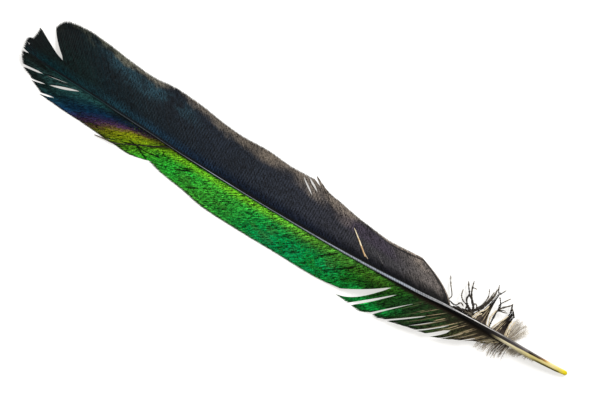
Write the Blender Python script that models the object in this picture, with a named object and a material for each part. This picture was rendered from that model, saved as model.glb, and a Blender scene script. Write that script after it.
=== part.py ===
"""A magpie's tail feather that lies on a surface with its upper side up.

The shaft runs along +X, from the quill's tip to the feather's tip. The green outer vane is
on the +Y side and the dark inner vane is on the -Y side. Sizes below are in millimetres, and
places are measured from the quill's tip. The finished mesh is in metres, and stands with the
middle of its outline over the origin and its lowest faces on the surface.

A vane is a row of barbs. A few of them, the guides, are placed by hand, and the others lie
between these. Neighbouring guides make a lock, and the vane splits between locks.
"""
import math
from collections import namedtuple

import bmesh
import bpy
from mathutils import Vector

MM = 0.001

# The shaft's middle line and section
ShaftStation = namedtuple("ShaftStation", "along across height width depth")
SHAFT = (
    ShaftStation(0.0, 0.30, 0.55, 0.9, 0.9),
    ShaftStation(1.2, 0.40, 0.80, 1.6, 1.5),
    ShaftStation(4.5, 0.70, 1.15, 2.1, 2.0),
    ShaftStation(14.0, 1.10, 1.95, 2.4, 2.4),
    ShaftStation(28.0, 1.10, 2.85, 2.5, 2.4),
    ShaftStation(38.0, 1.10, 3.40, 2.3, 2.4),
    ShaftStation(50.0, 1.50, 3.95, 2.0, 2.2),
    ShaftStation(62.0, 2.20, 4.40, 1.8, 2.0),
    ShaftStation(90.0, 3.10, 5.00, 1.3, 1.6),
    ShaftStation(125.0, 3.15, 5.05, 0.9, 1.2),
    ShaftStation(152.0, 2.80, 4.60, 0.75, 1.0),
    ShaftStation(167.0, 2.05, 4.15, 0.65, 0.9),
    ShaftStation(195.0, 1.00, 2.90, 0.5, 0.7),
    ShaftStation(207.0, 0.60, 2.20, 0.4, 0.6),
    ShaftStation(221.0, 0.10, 1.30, 0.3, 0.5),
)
SHAFT_END = 207.0
SHAFT_SIDES = 10
SHAFT_STEP = 5.0
TIP_STEP = 0.8
TIP_LENGTH = 4.0

# The vane's sheet: its thickness at the shaft and at the edge, and where it meets the shaft
ROOT_THICKNESS = 0.46
EDGE_THICKNESS = 0.28
THIN_AT = 14.0
ATTACH_SHARE = 0.12
ROW_STEP = 4.6
ROW_POINTS = (0.0, 0.12, 0.3, 0.48, 0.65, 0.83, 1.0)

# How far each vane reaches from the shaft before its edge comes down to the surface
OUTER_REACH = (
    (20, 10.0), (48, 13.0), (66, 14.6), (90, 13.4), (125, 12.4),
    (150, 9.6), (175, 8.8), (200, 8.6), (221, 6.0),
)
INNER_REACH = (
    (20, 12.0), (48, 9.0), (62, 10.8), (85, 13.0), (110, 16.4),
    (150, 17.6), (178, 18.6), (205, 18.0), (221, 13.0),
)
CAMBER_POWER = 1.7
EDGE_PRESS = 0.35
WAVE_HEIGHT = 0.30
WAVE_LENGTH = 46.0

# A guide barb leaves the shaft at root, at the angle leave, and ends at its tip, where it
# points lean degrees away from the feather's length. A guide with no leave takes the vane's.
Guide = namedtuple("Guide", "root tip_x tip_y lean leave", defaults=(None,))

# A lock is a run of guides. It is joined to the next lock over a share of the barbs' length,
# and lift raises its tips, so that it clears the locks that it crosses.
Lock = namedtuple("Lock", "guides joined lift", defaults=(0.0, 0.0))

# Angles at which each vane's barbs leave the shaft, by place along it
OUTER_LEAVE = (
    (20, 48), (30, 44), (44.2, 38), (53.5, 43), (65, 43), (90, 38), (125, 33),
    (150, 27), (175, 22), (195, 15), (206, 8),
)
INNER_LEAVE = ((46, 40), (60, 42), (140, 42), (175, 40), (190, 28), (196, 22), (200, 14), (206, 6))

OUTER_LOCKS = (
    Lock((
        Guide(20.2, 22.9, 5.4, 70, 60), Guide(22.3, 25.4, 7.8, 60, 60), Guide(24.3, 28.2, 7.0, 42),
    ), 0.25, -0.6),
    Lock((Guide(24.3, 30.8, 6.2, 36), Guide(27.1, 34.1, 7.2, 36), Guide(29.2, 37.0, 9.0, 38)), 0.5, -0.4),
    Lock((Guide(29.2, 38.7, 9.5, 38), Guide(32.7, 43.8, 11.8, 34), Guide(36.2, 48.3, 13.8, 32)), 0.5),
    Lock((Guide(36.2, 50.0, 13.3, 38), Guide(38.2, 52.9, 14.1, 30)), 0.36),
    Lock((Guide(38.2, 54.1, 14.1, 34), Guide(41.4, 58.4, 15.2, 30), Guide(44.2, 63.6, 16.7, 31)), 0.36),
    Lock((Guide(44.2, 64.8, 16.2, 36), Guide(49.0, 67.1, 17.3, 40), Guide(53.5, 69.1, 17.1, 47)), 0.34),
    Lock((Guide(53.5, 69.9, 16.8, 45), Guide(57.4, 73.4, 18.4, 40), Guide(60.5, 77.2, 18.2, 36)), 0.33),
    Lock((Guide(60.5, 78.5, 18.0, 40), Guide(64.7, 82.8, 17.9, 10)), 0.2),
    Lock((
        Guide(64.7, 83.5, 15.1, 27), Guide(74.8, 93.2, 16.1, 28), Guide(91.1, 109.2, 15.9, 27),
        Guide(107.8, 126.6, 15.7, 27), Guide(121.0, 139.8, 15.1, 27), Guide(129.4, 148.8, 13.4, 24),
        Guide(138.4, 158.2, 12.0, 22), Guide(143.3, 163.4, 10.6, 20),
    ), 0.65),
    Lock((
        Guide(143.3, 164.6, 11.1, 20), Guide(148.8, 171.1, 12.3, 22), Guide(154.4, 177.7, 11.9, 24),
        Guide(160.6, 183.2, 11.6, 22), Guide(166.9, 190.5, 11.1, 20), Guide(172.8, 197.5, 10.8, 17),
        Guide(178.0, 203.4, 10.3, 13), Guide(181.5, 207.9, 9.9, 8),
    ), 0.8),
    Lock((Guide(181.5, 207.9, 9.2, 11), Guide(184.6, 210.0, 8.3, 11), Guide(187.1, 212.6, 7.2, 8)), 0.86),
    Lock((Guide(187.1, 212.9, 6.8, 10), Guide(190.2, 215.6, 6.0, 9), Guide(192.6, 217.3, 5.3, -2, 30)), 0.12),
    Lock((Guide(192.6, 217.4, 5.0, -3, 15), Guide(196.8, 217.9, 4.4, 7)), 0.5),
    Lock((Guide(196.8, 218.2, 3.8, 6), Guide(200.3, 219.4, 1.9, 4), Guide(205.2, 220.4, 0.2, 1)), 0.6),
)

INNER_LOCKS = (
    Lock((
        Guide(21.6, 19.9, -6.4, 112, 85), Guide(23.3, 22.3, -8.8, 100, 85), Guide(25.4, 25.3, -10.1, 84, 90),
    ), 0, -0.5),
    Lock((
        Guide(26.1, 26.4, -7.2, 90, 85), Guide(28.7, 27.7, -9.0, 84, 95), Guide(31.2, 28.9, -11.1, 74, 112),
    )),
    Lock((Guide(32.1, 29.3, -10.0, 138, 74), Guide(32.8, 29.7, -10.4, 138, 76)), 0, 0.6),
    Lock((
        Guide(33.6, 34.0, -12.2, 86, 78), Guide(36.0, 34.7, -13.6, 86, 92), Guide(38.8, 35.5, -12.9, 84, 125),
    ), 0, 0.8),
    Lock((Guide(39.6, 38.3, -11.3, 66, 118), Guide(40.3, 38.8, -11.5, 66, 116)), 0, 0.8),
    Lock((
        Guide(40.9, 41.6, -3.4, 70, 70), Guide(41.8, 44.2, -10.8, 84, 50), Guide(42.5, 44.8, -10.7, 80, 48),
    ), 0, 0.6),
    Lock((Guide(43.1, 45.6, -9.8, 58, 66), Guide(43.9, 46.3, -10.0, 58, 58)), 0, 0.9),
    Lock((Guide(45.3, 52.4, -9.4, 62, 74), Guide(45.9, 53.0, -9.4, 62, 72)), 0, 1.2),
    Lock((
        Guide(46.6, 64.3, -9.0, 18, 54), Guide(56.3, 69.5, -8.7, 32), Guide(64.0, 77.2, -8.3, 36),
        Guide(69.5, 83.5, -8.9, 36), Guide(75.8, 91.1, -9.8, 36), Guide(82.4, 98.4, -11.2, 36),
        Guide(87.6, 105.0, -12.5, 34), Guide(89.0, 111.3, -15.3, 33),
    ), 0.78),
    Lock((
        Guide(89.0, 110.2, -13.4, 26), Guide(93.2, 114.4, -13.3, 34), Guide(101.9, 120.0, -13.2, 40),
        Guide(110.9, 129.4, -13.9, 42), Guide(121.4, 139.1, -13.6, 42), Guide(129.7, 147.8, -14.3, 43),
        Guide(138.7, 157.2, -15.6, 44), Guide(148.8, 167.6, -16.3, 44), Guide(159.3, 176.6, -15.6, 44),
        Guide(167.9, 186.0, -16.4, 44), Guide(176.3, 195.4, -17.5, 44), Guide(183.6, 203.4, -18.1, 44),
        Guide(188.1, 208.6, -17.7, 45), Guide(191.6, 212.6, -16.5, 48), Guide(195.4, 214.4, -13.3, 58),
    ), 0.5),
    Lock((
        Guide(195.4, 219.1, -10.4, 30), Guide(197.5, 219.1, -7.6, 24), Guide(199.6, 219.6, -5.9, 18),
        Guide(201.7, 221.1, -5.0, 14), Guide(203.8, 220.8, -2.8, 8), Guide(205.2, 220.1, -1.0, 4),
    )),
)
TIP_JOINED = 0.7

# One vane: which way it lies from the shaft, its locks, its barbs' angles and its reach
Vane = namedtuple("Vane", "side locks leave reach")
OUTER = Vane(1, OUTER_LOCKS, OUTER_LEAVE, OUTER_REACH)
INNER = Vane(-1, INNER_LOCKS, INNER_LEAVE, INNER_REACH)

KERATIN_COLOUR = (0.02, 0.09, 0.05, 1.0)
KERATIN_ROUGHNESS = 0.42
SMOOTH_ANGLE = math.radians(32)


def through(points, place):
    """Height at one place of the smooth curve that passes through (place, height) points."""
    places = [p[0] for p in points]
    heights = [p[1] for p in points]
    if place <= places[0]:
        return heights[0]
    if place >= places[-1]:
        return heights[-1]
    i = max(k for k in range(len(places) - 1) if places[k] <= place)
    span = places[i + 1] - places[i]
    before = max(i - 1, 0)
    after = min(i + 2, len(places) - 1)
    slope_in = (heights[i + 1] - heights[before]) / (places[i + 1] - places[before])
    slope_out = (heights[after] - heights[i]) / (places[after] - places[i])
    t = (place - places[i]) / span
    ease = t * t * (3 - 2 * t)
    rise_in = t * (1 - t) ** 2 * span * slope_in
    rise_out = t * t * (t - 1) * span * slope_out
    return heights[i] * (1 - ease) + heights[i + 1] * ease + rise_in + rise_out


def shaft_at(along, field):
    """One measure of the shaft, such as its width, at a place along it."""
    return through([(s.along, getattr(s, field)) for s in SHAFT], along)


def guide_at(vane, lock, root):
    """The barb that leaves the shaft at root, between the lock's own guides."""
    def between(field):
        return through([(g.root, getattr(g, field)) for g in lock.guides], root)

    usual = through(vane.leave, root)
    leaves = [(g.root, usual if g.leave is None else g.leave) for g in lock.guides]
    return Guide(root, between("tip_x"), between("tip_y"), between("lean"), through(leaves, root))


def barb_point(vane, barb, t):
    """Plan point at the share t of a barb's length, on a curve from its root to its tip."""
    root = Vector((barb.root, shaft_at(barb.root, "across")))
    tip = Vector((barb.tip_x, barb.tip_y))
    pull = (tip - root).length / 3
    leave = math.radians(barb.leave)
    lean = math.radians(barb.lean)
    first = root + pull * Vector((math.cos(leave), vane.side * math.sin(leave)))
    second = tip - pull * Vector((math.cos(lean), vane.side * math.sin(lean)))
    near = root * (1 - t) ** 3 + first * 3 * t * (1 - t) ** 2
    return near + second * 3 * t * t * (1 - t) + tip * t ** 3


def sheet_height(vane, plan, t, lift):
    """Height of the sheet's underside at a plan point: highest at the shaft, down to the surface."""
    along = min(plan.x, SHAFT[-1].along)
    attach = shaft_at(along, "height") + ATTACH_SHARE * shaft_at(along, "depth")
    share = abs(plan.y - shaft_at(along, "across")) / through(vane.reach, along)
    wave = WAVE_HEIGHT * math.sin(2 * math.pi * along / WAVE_LENGTH + vane.side)
    camber = attach * (1 - share ** CAMBER_POWER) - (EDGE_PRESS - wave) * share ** 2
    return max(0.0, camber + lift * t * t - ROOT_THICKNESS / 2)


def shares_for(joined):
    """Shares along a barb where a row has its points. One of them is where a split begins."""
    if joined is None:
        return ROW_POINTS
    nearest = joined_index(joined)
    turn = ROW_POINTS[nearest]
    near = [t * joined / turn for t in ROW_POINTS[:nearest]]
    far = [1 - (1 - t) * (1 - joined) / (1 - turn) for t in ROW_POINTS[nearest:]]
    return near + far


def joined_index(joined):
    """The number of the row's point at which two neighbours part."""
    inner_points = range(1, len(ROW_POINTS) - 1)
    return min(inner_points, key=lambda k: abs(ROW_POINTS[k] - joined))


def barb_row(vane, lock, root, joined):
    """The points of one barb's underside, in millimetres, from the shaft to the tip."""
    barb = guide_at(vane, lock, root)
    row = []
    for t in shares_for(joined):
        plan = barb_point(vane, barb, t)
        row.append(Vector((plan.x, plan.y, sheet_height(vane, plan, t, lock.lift))))
    return row


def all_roots():
    """Every place along the shaft where a row of points starts, on either side."""
    roots = set()
    for vane in (OUTER, INNER):
        for lock in vane.locks:
            for first, last in zip(lock.guides, lock.guides[1:]):
                steps = max(1, math.ceil((last.root - first.root) / ROW_STEP))
                pitch = (last.root - first.root) / steps
                roots.update(round(first.root + pitch * k, 3) for k in range(steps + 1))
    return sorted(roots)


def add_row(bm, points, common):
    """Makes a row's vertices. Those that a neighbour already has are kept, and moved halfway."""
    row = list(common)
    for vertex, point in zip(common[1:], points[1:]):
        vertex.co = (vertex.co + point * MM) / 2
    row.extend(bm.verts.new(point * MM) for point in points[len(common):])
    return row


def lock_rows(bm, vane, lock, roots, spine, before, tip_row):
    """One lock's faces. before is the last lock's last row, and tip_row the other vane's."""
    stations = [r for r in roots if lock.guides[0].root <= r <= lock.guides[-1].root]
    row = None
    for root in stations:
        joined = None
        common = [spine[root]] if root in spine else []
        if root == stations[0] and before is not None and before["row"][0] in common:
            joined = before["joined"]
            common = before["row"][:joined_index(joined) + 1]
        elif root == stations[-1] and root == roots[-1]:
            joined = TIP_JOINED
            common = tip_row[:joined_index(joined) + 1] if tip_row else common
        elif root == stations[-1] and lock.joined:
            joined = lock.joined
        new_row = add_row(bm, barb_row(vane, lock, root, joined), common)
        spine[root] = new_row[0]
        if row is not None:
            for j in range(len(ROW_POINTS) - 1):
                bm.faces.new((row[j], row[j + 1], new_row[j + 1], new_row[j]))
        row = new_row
    return {"row": row, "joined": lock.joined}


def add_vane(bm, vane, roots, spine, tip_row):
    """One vane's sheet, lock by lock. Returns its last row, at the feather's tip."""
    before = None
    for lock in vane.locks:
        before = lock_rows(bm, vane, lock, roots, spine, before, tip_row)
    return before["row"]


def thickness_at(place):
    """The sheet's thickness in metres: it thins from the shaft to the vane's edge."""
    from_shaft = abs(place.y / MM - shaft_at(place.x / MM, "across"))
    share = min(1.0, from_shaft / THIN_AT)
    return (ROOT_THICKNESS + (EDGE_THICKNESS - ROOT_THICKNESS) * share) * MM


def vane_sheet():
    """Both vanes as one closed sheet: the underside is laid out flat, and raised to its top."""
    bm = bmesh.new()
    roots = all_roots()
    spine = {}
    tip_row = add_vane(bm, OUTER, roots, spine, None)
    add_vane(bm, INNER, roots, spine, tip_row)
    bmesh.ops.recalc_face_normals(bm, faces=bm.faces)
    raised = bmesh.ops.extrude_face_region(bm, geom=bm.faces[:], use_keep_orig=True)
    for item in raised["geom"]:
        if isinstance(item, bmesh.types.BMVert):
            item.co.z += thickness_at(item.co)
    bmesh.ops.recalc_face_normals(bm, faces=bm.faces)
    return bm


def shaft_section(along):
    """Points round the shaft at one place: broad above and narrower below, like the real one."""
    middle = Vector((along, shaft_at(along, "across"), shaft_at(along, "height")))
    half_width = shaft_at(along, "width") / 2
    half_depth = shaft_at(along, "depth") / 2
    points = []
    for k in range(SHAFT_SIDES):
        angle = 2 * math.pi * (k + 0.5) / SHAFT_SIDES
        points.append(middle + Vector((0, half_width * math.cos(angle), half_depth * math.sin(angle))))
    return points


def shaft_places():
    """Places along the shaft for its sections, closer together at the quill's rounded tip."""
    places = [TIP_STEP * k for k in range(int(TIP_LENGTH / TIP_STEP))]
    steps = round((SHAFT_END - TIP_LENGTH) / SHAFT_STEP)
    places.extend(TIP_LENGTH + (SHAFT_END - TIP_LENGTH) * k / steps for k in range(steps + 1))
    return places


def shaft_solid():
    """Quill and rachis as one tapering closed tube."""
    bm = bmesh.new()
    rings = []
    for along in shaft_places():
        rings.append([bm.verts.new(p * MM) for p in shaft_section(along)])
    for ring, following in zip(rings, rings[1:]):
        for k in range(SHAFT_SIDES):
            n = (k + 1) % SHAFT_SIDES
            bm.faces.new((ring[k], ring[n], following[n], following[k]))
    bm.faces.new(reversed(rings[0]))
    bm.faces.new(rings[-1])
    bmesh.ops.recalc_face_normals(bm, faces=bm.faces)
    return bm


def new_object(name, bm):
    """A mesh object in the scene, made from a bmesh that is then done with."""
    mesh = bpy.data.meshes.new(name)
    bm.to_mesh(mesh)
    bm.free()
    obj = bpy.data.objects.new(name, mesh)
    bpy.context.scene.collection.objects.link(obj)
    return obj


def keratin():
    """The feather's own material: dark, slightly glossy green."""
    material = bpy.data.materials.new("keratin")
    material.use_nodes = True
    surface = material.node_tree.nodes["Principled BSDF"]
    surface.inputs["Base Color"].default_value = KERATIN_COLOUR
    surface.inputs["Roughness"].default_value = KERATIN_ROUGHNESS
    surface.inputs["Metallic"].default_value = 0.0
    return material


def join_sheet(shaft, sheet):
    """Unites the vanes' sheet with the shaft. The sheet stays behind as a hidden guide."""
    sheet.hide_render = True
    sheet.display_type = "WIRE"
    union = shaft.modifiers.new("vanes", "BOOLEAN")
    union.operation = "UNION"
    union.solver = "EXACT"
    union.object = sheet


def stand_on_origin(objects):
    """Moves the meshes together until the outline's middle is over the origin."""
    corners = [v.co for obj in objects for v in obj.data.vertices]
    low = Vector([min(c[i] for c in corners) for i in range(3)])
    high = Vector([max(c[i] for c in corners) for i in range(3)])
    shift = Vector((-(low.x + high.x) / 2, -(low.y + high.y) / 2, -low.z))
    for obj in objects:
        for vertex in obj.data.vertices:
            vertex.co += shift


def main():
    for obj in list(bpy.data.objects):
        bpy.data.objects.remove(obj)
    shaft = new_object("feather", shaft_solid())
    sheet = new_object("vane_sheet", vane_sheet())
    stand_on_origin((shaft, sheet))
    shaft.data.materials.append(keratin())
    join_sheet(shaft, sheet)
    shaft.data.shade_smooth()
    shaft.data.set_sharp_from_angle(angle=SMOOTH_ANGLE)


main()
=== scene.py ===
"""The look of a magpie's tail feather that lies on a pale table, seen from straight above.

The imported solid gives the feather's place and size. Here it is dressed: every barb of both
vanes is a closed, ridged strip, the quill is a turned tube, and the down and the broken barbs
at the vane's foot are fine threads. Sizes are in millimetres, measured from the quill's tip:
x runs along the feather, y towards the green outer vane and z up.
"""
from __future__ import annotations

import logging
import math
from dataclasses import dataclass, field
from enum import Enum
from typing import Any, Iterable, Sequence

import bpy
import numpy as np
from mathutils import Matrix, Vector


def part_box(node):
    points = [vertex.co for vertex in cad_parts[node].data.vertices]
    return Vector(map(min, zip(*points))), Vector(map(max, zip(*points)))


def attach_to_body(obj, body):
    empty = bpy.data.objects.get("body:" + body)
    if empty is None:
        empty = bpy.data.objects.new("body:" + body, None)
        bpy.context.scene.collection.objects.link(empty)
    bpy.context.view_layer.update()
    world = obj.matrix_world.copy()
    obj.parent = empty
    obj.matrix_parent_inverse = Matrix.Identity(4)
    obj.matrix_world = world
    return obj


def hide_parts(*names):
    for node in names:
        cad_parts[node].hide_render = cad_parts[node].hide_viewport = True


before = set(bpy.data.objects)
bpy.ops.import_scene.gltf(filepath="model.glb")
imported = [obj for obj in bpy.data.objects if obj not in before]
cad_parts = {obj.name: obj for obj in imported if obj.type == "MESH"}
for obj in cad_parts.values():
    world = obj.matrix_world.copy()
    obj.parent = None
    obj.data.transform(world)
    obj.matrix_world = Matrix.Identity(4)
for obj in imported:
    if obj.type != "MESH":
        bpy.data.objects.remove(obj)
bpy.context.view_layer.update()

log = logging.getLogger("feather")

MM = 0.001
BODY = "root"
NODE = "feather"
BAKE_MAP = "OFBake"

FEATHER_LENGTH = 220.0
QUILL_TIP_X = 0.0
WIDEST_Y = 18.4

Colour = tuple[float, float, float]
Stops = tuple[tuple[float, Colour], ...]
Numbers = np.ndarray


class Side(Enum):
    """The two vanes, by the side of the shaft that they are on."""

    OUTER = 1
    INNER = -1


class Slot(Enum):
    """The record's finishes."""

    OUTER_VANE = "outer_vane"
    INNER_VANE = "inner_vane"
    SHAFT = "shaft"
    DOWN = "down"


def paint(red: int, green: int, blue: int) -> Colour:
    """Turns a colour as it is seen on a screen into light.

    Args:
        red: its red, from 0 to 255.
        green: its green.
        blue: its blue.

    Returns:
        The three as shares of full light.
    """
    dark_end, slope, offset, power = 0.04045, 12.92, 0.055, 2.4
    shares = [c / 255 for c in (red, green, blue)]
    light = [c / slope if c <= dark_end else ((c + offset) / (1 + offset)) ** power for c in shares]
    return (light[0], light[1], light[2])


def paints(*points: tuple[float, int, int, int]) -> Stops:
    """Colours along a length, from places that are each followed by red, green and blue."""
    return tuple((place, paint(*colour)) for place, *colour in points)


def smooth_step(value: Numbers, low: float, high: float) -> Numbers:
    """0 below low, 1 above high, and an even curve between."""
    t = np.clip((np.asarray(value, float) - low) / (high - low), 0, 1)
    return t * t * (3 - 2 * t)


@dataclass(frozen=True)
class SmoothCurve:
    """A smooth curve through (place, height) points."""

    points: tuple[tuple[float, float], ...]

    def at(self, place: Any) -> Numbers:
        """Reads the curve.

        Args:
            place: one place or an array of them.

        Returns:
            The curve's height at each place; beyond its ends, that of the end.
        """
        places, heights = np.array(self.points, float).T
        x = np.clip(np.asarray(place, float), places[0], places[-1])
        i = np.clip(np.searchsorted(places, x, side="right") - 1, 0, len(places) - 2)
        before = np.maximum(i - 1, 0)
        after = np.minimum(i + 2, len(places) - 1)
        span = places[i + 1] - places[i]
        slope_in = (heights[i + 1] - heights[before]) / (places[i + 1] - places[before])
        slope_out = (heights[after] - heights[i]) / (places[after] - places[i])
        t = (x - places[i]) / span
        ease = t * t * (3 - 2 * t)
        bends = t * (1 - t) ** 2 * span * slope_in + t * t * (t - 1) * span * slope_out
        return heights[i] * (1 - ease) + heights[i + 1] * ease + bends


def curve(*points: tuple[float, float]) -> SmoothCurve:
    """A smooth curve through (place, height) points."""
    return SmoothCurve(points)


@dataclass(frozen=True)
class ShaftLine:
    """The shaft's middle line and section, as the solid has them.

    Args:
        across: the middle line's place across, over its place along.
        height: its height over the table.
        depth: the section's depth.
        width: the section's width.
        end: where the shaft ends.
    """

    across: SmoothCurve
    height: SmoothCurve
    depth: SmoothCurve
    width: SmoothCurve
    end: float = 207.0


# Along the shaft: place, place across, height, depth.
SHAFT_STATIONS = (
    (0, 0.30, 0.55, 0.9), (1.2, 0.40, 0.80, 1.5), (4.5, 0.70, 1.15, 2.0), (14, 1.10, 1.95, 2.4),
    (28, 1.10, 2.85, 2.4), (38, 1.10, 3.40, 2.4), (50, 1.50, 3.95, 2.2), (62, 2.20, 4.40, 2.0),
    (90, 3.10, 5.00, 1.6), (125, 3.15, 5.05, 1.2), (152, 2.80, 4.60, 1.0), (167, 2.05, 4.15, 0.9),
    (195, 1.00, 2.90, 0.7), (207, 0.60, 2.20, 0.6), (221, 0.10, 1.30, 0.5),
)
SHAFT_WIDTH = curve(
    (0, 1.5), (1.2, 1.75), (4.5, 2.1), (14, 2.65), (21, 2.7), (28, 2.6), (38, 2.3), (50, 2.0), (62, 1.8),
    (90, 1.3), (125, 0.9), (152, 0.75), (167, 0.65), (195, 0.5), (207, 0.4), (221, 0.3),
)
SHAFT_LINE = ShaftLine(
    *(SmoothCurve(tuple((s[0], s[n]) for s in SHAFT_STATIONS)) for n in (1, 2, 3)), width=SHAFT_WIDTH,
)


@dataclass(frozen=True)
class Guide:
    """A barb that was placed one by one.

    Args:
        root: where on the shaft it grows.
        tip_x: where its tip is along the feather.
        tip_y: where its tip is across.
        lean: angle to the shaft at its tip, in degrees.
        leave: the same at its root, where it isn't the vane's usual one.
    """

    root: float
    tip_x: float
    tip_y: float
    lean: float
    leave: float | None = None


@dataclass(frozen=True)
class Habit:
    """How the barbs of a lock keep together.

    Args:
        pitch: distance between barbs along the shaft.
        fray: share by which the barbs draw together in clumps towards their tips.
        clump: fewest and most barbs in a clump.
        start: share of a barb's length at which the clumps begin to part.
        wings: width of a barb's wings, as a share of its distance to the next barb.
    """

    pitch: float
    fray: float
    clump: tuple[int, int]
    start: float
    wings: float = 1.22


@dataclass(frozen=True)
class Lock:
    """A run of barbs between guides.

    Args:
        guides: the barbs that were placed one by one.
        joined: share of the barbs' length over which it holds to the next lock.
        habit: how its barbs keep together.
        lift: how far its tips are raised.
        gap: share of the space to the next lock's tips that is left open.
    """

    guides: tuple[Guide, ...]
    joined: float
    habit: Habit
    lift: float
    gap: float

    def over_roots(self, values: Iterable[float]) -> SmoothCurve:
        """One value for each guide as a curve over the guides' roots."""
        return SmoothCurve(tuple((g.root, value) for g, value in zip(self.guides, values)))

    def measure(self, name: str) -> SmoothCurve:
        """One measure of the guides as a curve over their roots."""
        return self.over_roots(getattr(g, name) for g in self.guides)

    @property
    def span(self) -> tuple[float, float]:
        """The roots of its first and last guides."""
        return self.guides[0].root, self.guides[-1].root


@dataclass(frozen=True)
class Slit:
    """Two neighbouring barbs that have come apart, between two shares of their length.

    Args:
        root: where on the shaft the slit's barbs grow.
        start: share of the barbs' length at which it opens.
        end: share at which it closes.
        width: how far it opens.
        drop: how far the barbs on the foot's side have sunk.
    """

    root: float
    start: float
    end: float
    width: float
    drop: float = 0.0


@dataclass(frozen=True)
class Crease:
    """A fold across the barbs, beyond which they lie lower.

    Args:
        line: its line in the plan.
        drop: how much lower they lie.
        breadth: half the breadth of the fold.
    """

    line: tuple[tuple[float, float], ...]
    drop: float
    breadth: float


@dataclass(frozen=True)
class Vane:
    """One side of the feather.

    Args:
        side: its side of the shaft.
        locks: its locks, from the foot to the tip.
        leave: the barbs' usual angle at their roots, in degrees.
        reach: the vane's width.
        slits: its slits.
        creases: its creases.
        camber_power: how late the sheet bends down towards its edge.
        attach_share: how high on the shaft the sheet grows, as a share of the shaft's depth.
        edge_press: how far the edge is pressed towards the table.
        wave_height: height of the slow wave along the vane.
        wave_length: its length.
        root_thickness: thickness of the sheet beside the shaft.
        edge_thickness: its thickness at the edge.
        thin_at: distance from the shaft at which it is so thin.
    """

    side: Side
    locks: tuple[Lock, ...]
    leave: SmoothCurve
    reach: SmoothCurve
    slits: tuple[Slit, ...] = ()
    creases: tuple[Crease, ...] = ()
    camber_power: float = 1.7
    attach_share: float = 0.12
    edge_press: float = 0.35
    wave_height: float = 0.30
    wave_length: float = 46.0
    root_thickness: float = 0.46
    edge_thickness: float = 0.28
    thin_at: float = 14.0

    def courses(self, lock: Lock, roots: Numbers, shares: Numbers) -> Numbers:
        """Plan points of barbs on smooth curves from their roots to their tips.

        Args:
            lock: the lock that the barbs belong to.
            roots: places of the barbs' roots along the shaft, n of them.
            shares: shares of a barb's length, m of them.

        Returns:
            An array of n by m by 2, in millimetres.
        """
        usual = self.leave.at([g.root for g in lock.guides])
        leaves = [u if g.leave is None else g.leave for g, u in zip(lock.guides, usual)]
        leave = np.radians(lock.over_roots(leaves).at(roots))
        lean = np.radians(lock.measure("lean").at(roots))
        root = np.stack([roots, SHAFT_LINE.across.at(roots)], 1)
        tip = np.stack([lock.measure("tip_x").at(roots), lock.measure("tip_y").at(roots)], 1)
        pull = np.linalg.norm(tip - root, axis=1)[:, None] / 3
        sign = self.side.value
        first = root + pull * np.stack([np.cos(leave), sign * np.sin(leave)], 1)
        second = tip - pull * np.stack([np.cos(lean), sign * np.sin(lean)], 1)
        t = shares[None, :, None]
        near = root[:, None] * (1 - t) ** 3 + first[:, None] * 3 * t * (1 - t) ** 2
        return near + second[:, None] * 3 * t * t * (1 - t) + tip[:, None] * t ** 3

    def height(self, plan: Numbers, shares: Numbers, lift: float) -> Numbers:
        """Height of the middle of the vane's sheet over the table.

        Args:
            plan: points in the plan, in an array that ends in 2.
            shares: their shares of their barbs' length.
            lift: how far the lock's tips are raised.

        Returns:
            The height of each point, in millimetres.
        """
        along = np.minimum(plan[..., 0], SHAFT_LINE.end + self.thin_at)
        attach = SHAFT_LINE.height.at(along) + self.attach_share * SHAFT_LINE.depth.at(along)
        out = np.abs(plan[..., 1] - SHAFT_LINE.across.at(along))
        share = out / self.reach.at(along)
        wave = self.wave_height * np.sin(2 * np.pi * along / self.wave_length + self.side.value)
        camber = attach * (1 - share ** self.camber_power) - (self.edge_press - wave) * share ** 2
        underside = np.maximum(0, camber + lift * shares ** 2 - self.root_thickness / 2)
        thin = np.minimum(1, out / self.thin_at)
        thickness = self.root_thickness + (self.edge_thickness - self.root_thickness) * thin
        return underside + thickness / 2


TORN = Habit(pitch=0.38, fray=0.17, clump=(4, 9), start=0.15, wings=1.25)
FRAYED = Habit(pitch=0.44, fray=0.03, clump=(4, 10), start=0.4, wings=1.25)
LOOSE = Habit(pitch=0.5, fray=0.03, clump=(4, 9), start=0.4, wings=1.22)
FLAME = Habit(pitch=0.24, fray=0.1, clump=(2, 5), start=0.1, wings=1.5)
SOUND = Habit(pitch=0.54, fray=0.012, clump=(7, 18), start=0.6)


def lock_of(
    *guides: tuple[float, ...], joined: float, habit: Habit = SOUND, lift: float = 0.0, gap: float = 1.0
) -> Lock:
    """A lock whose guides are given by their numbers, in the order of a guide's fields."""
    return Lock(tuple(Guide(*numbers) for numbers in guides), joined, habit, lift, gap)


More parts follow.
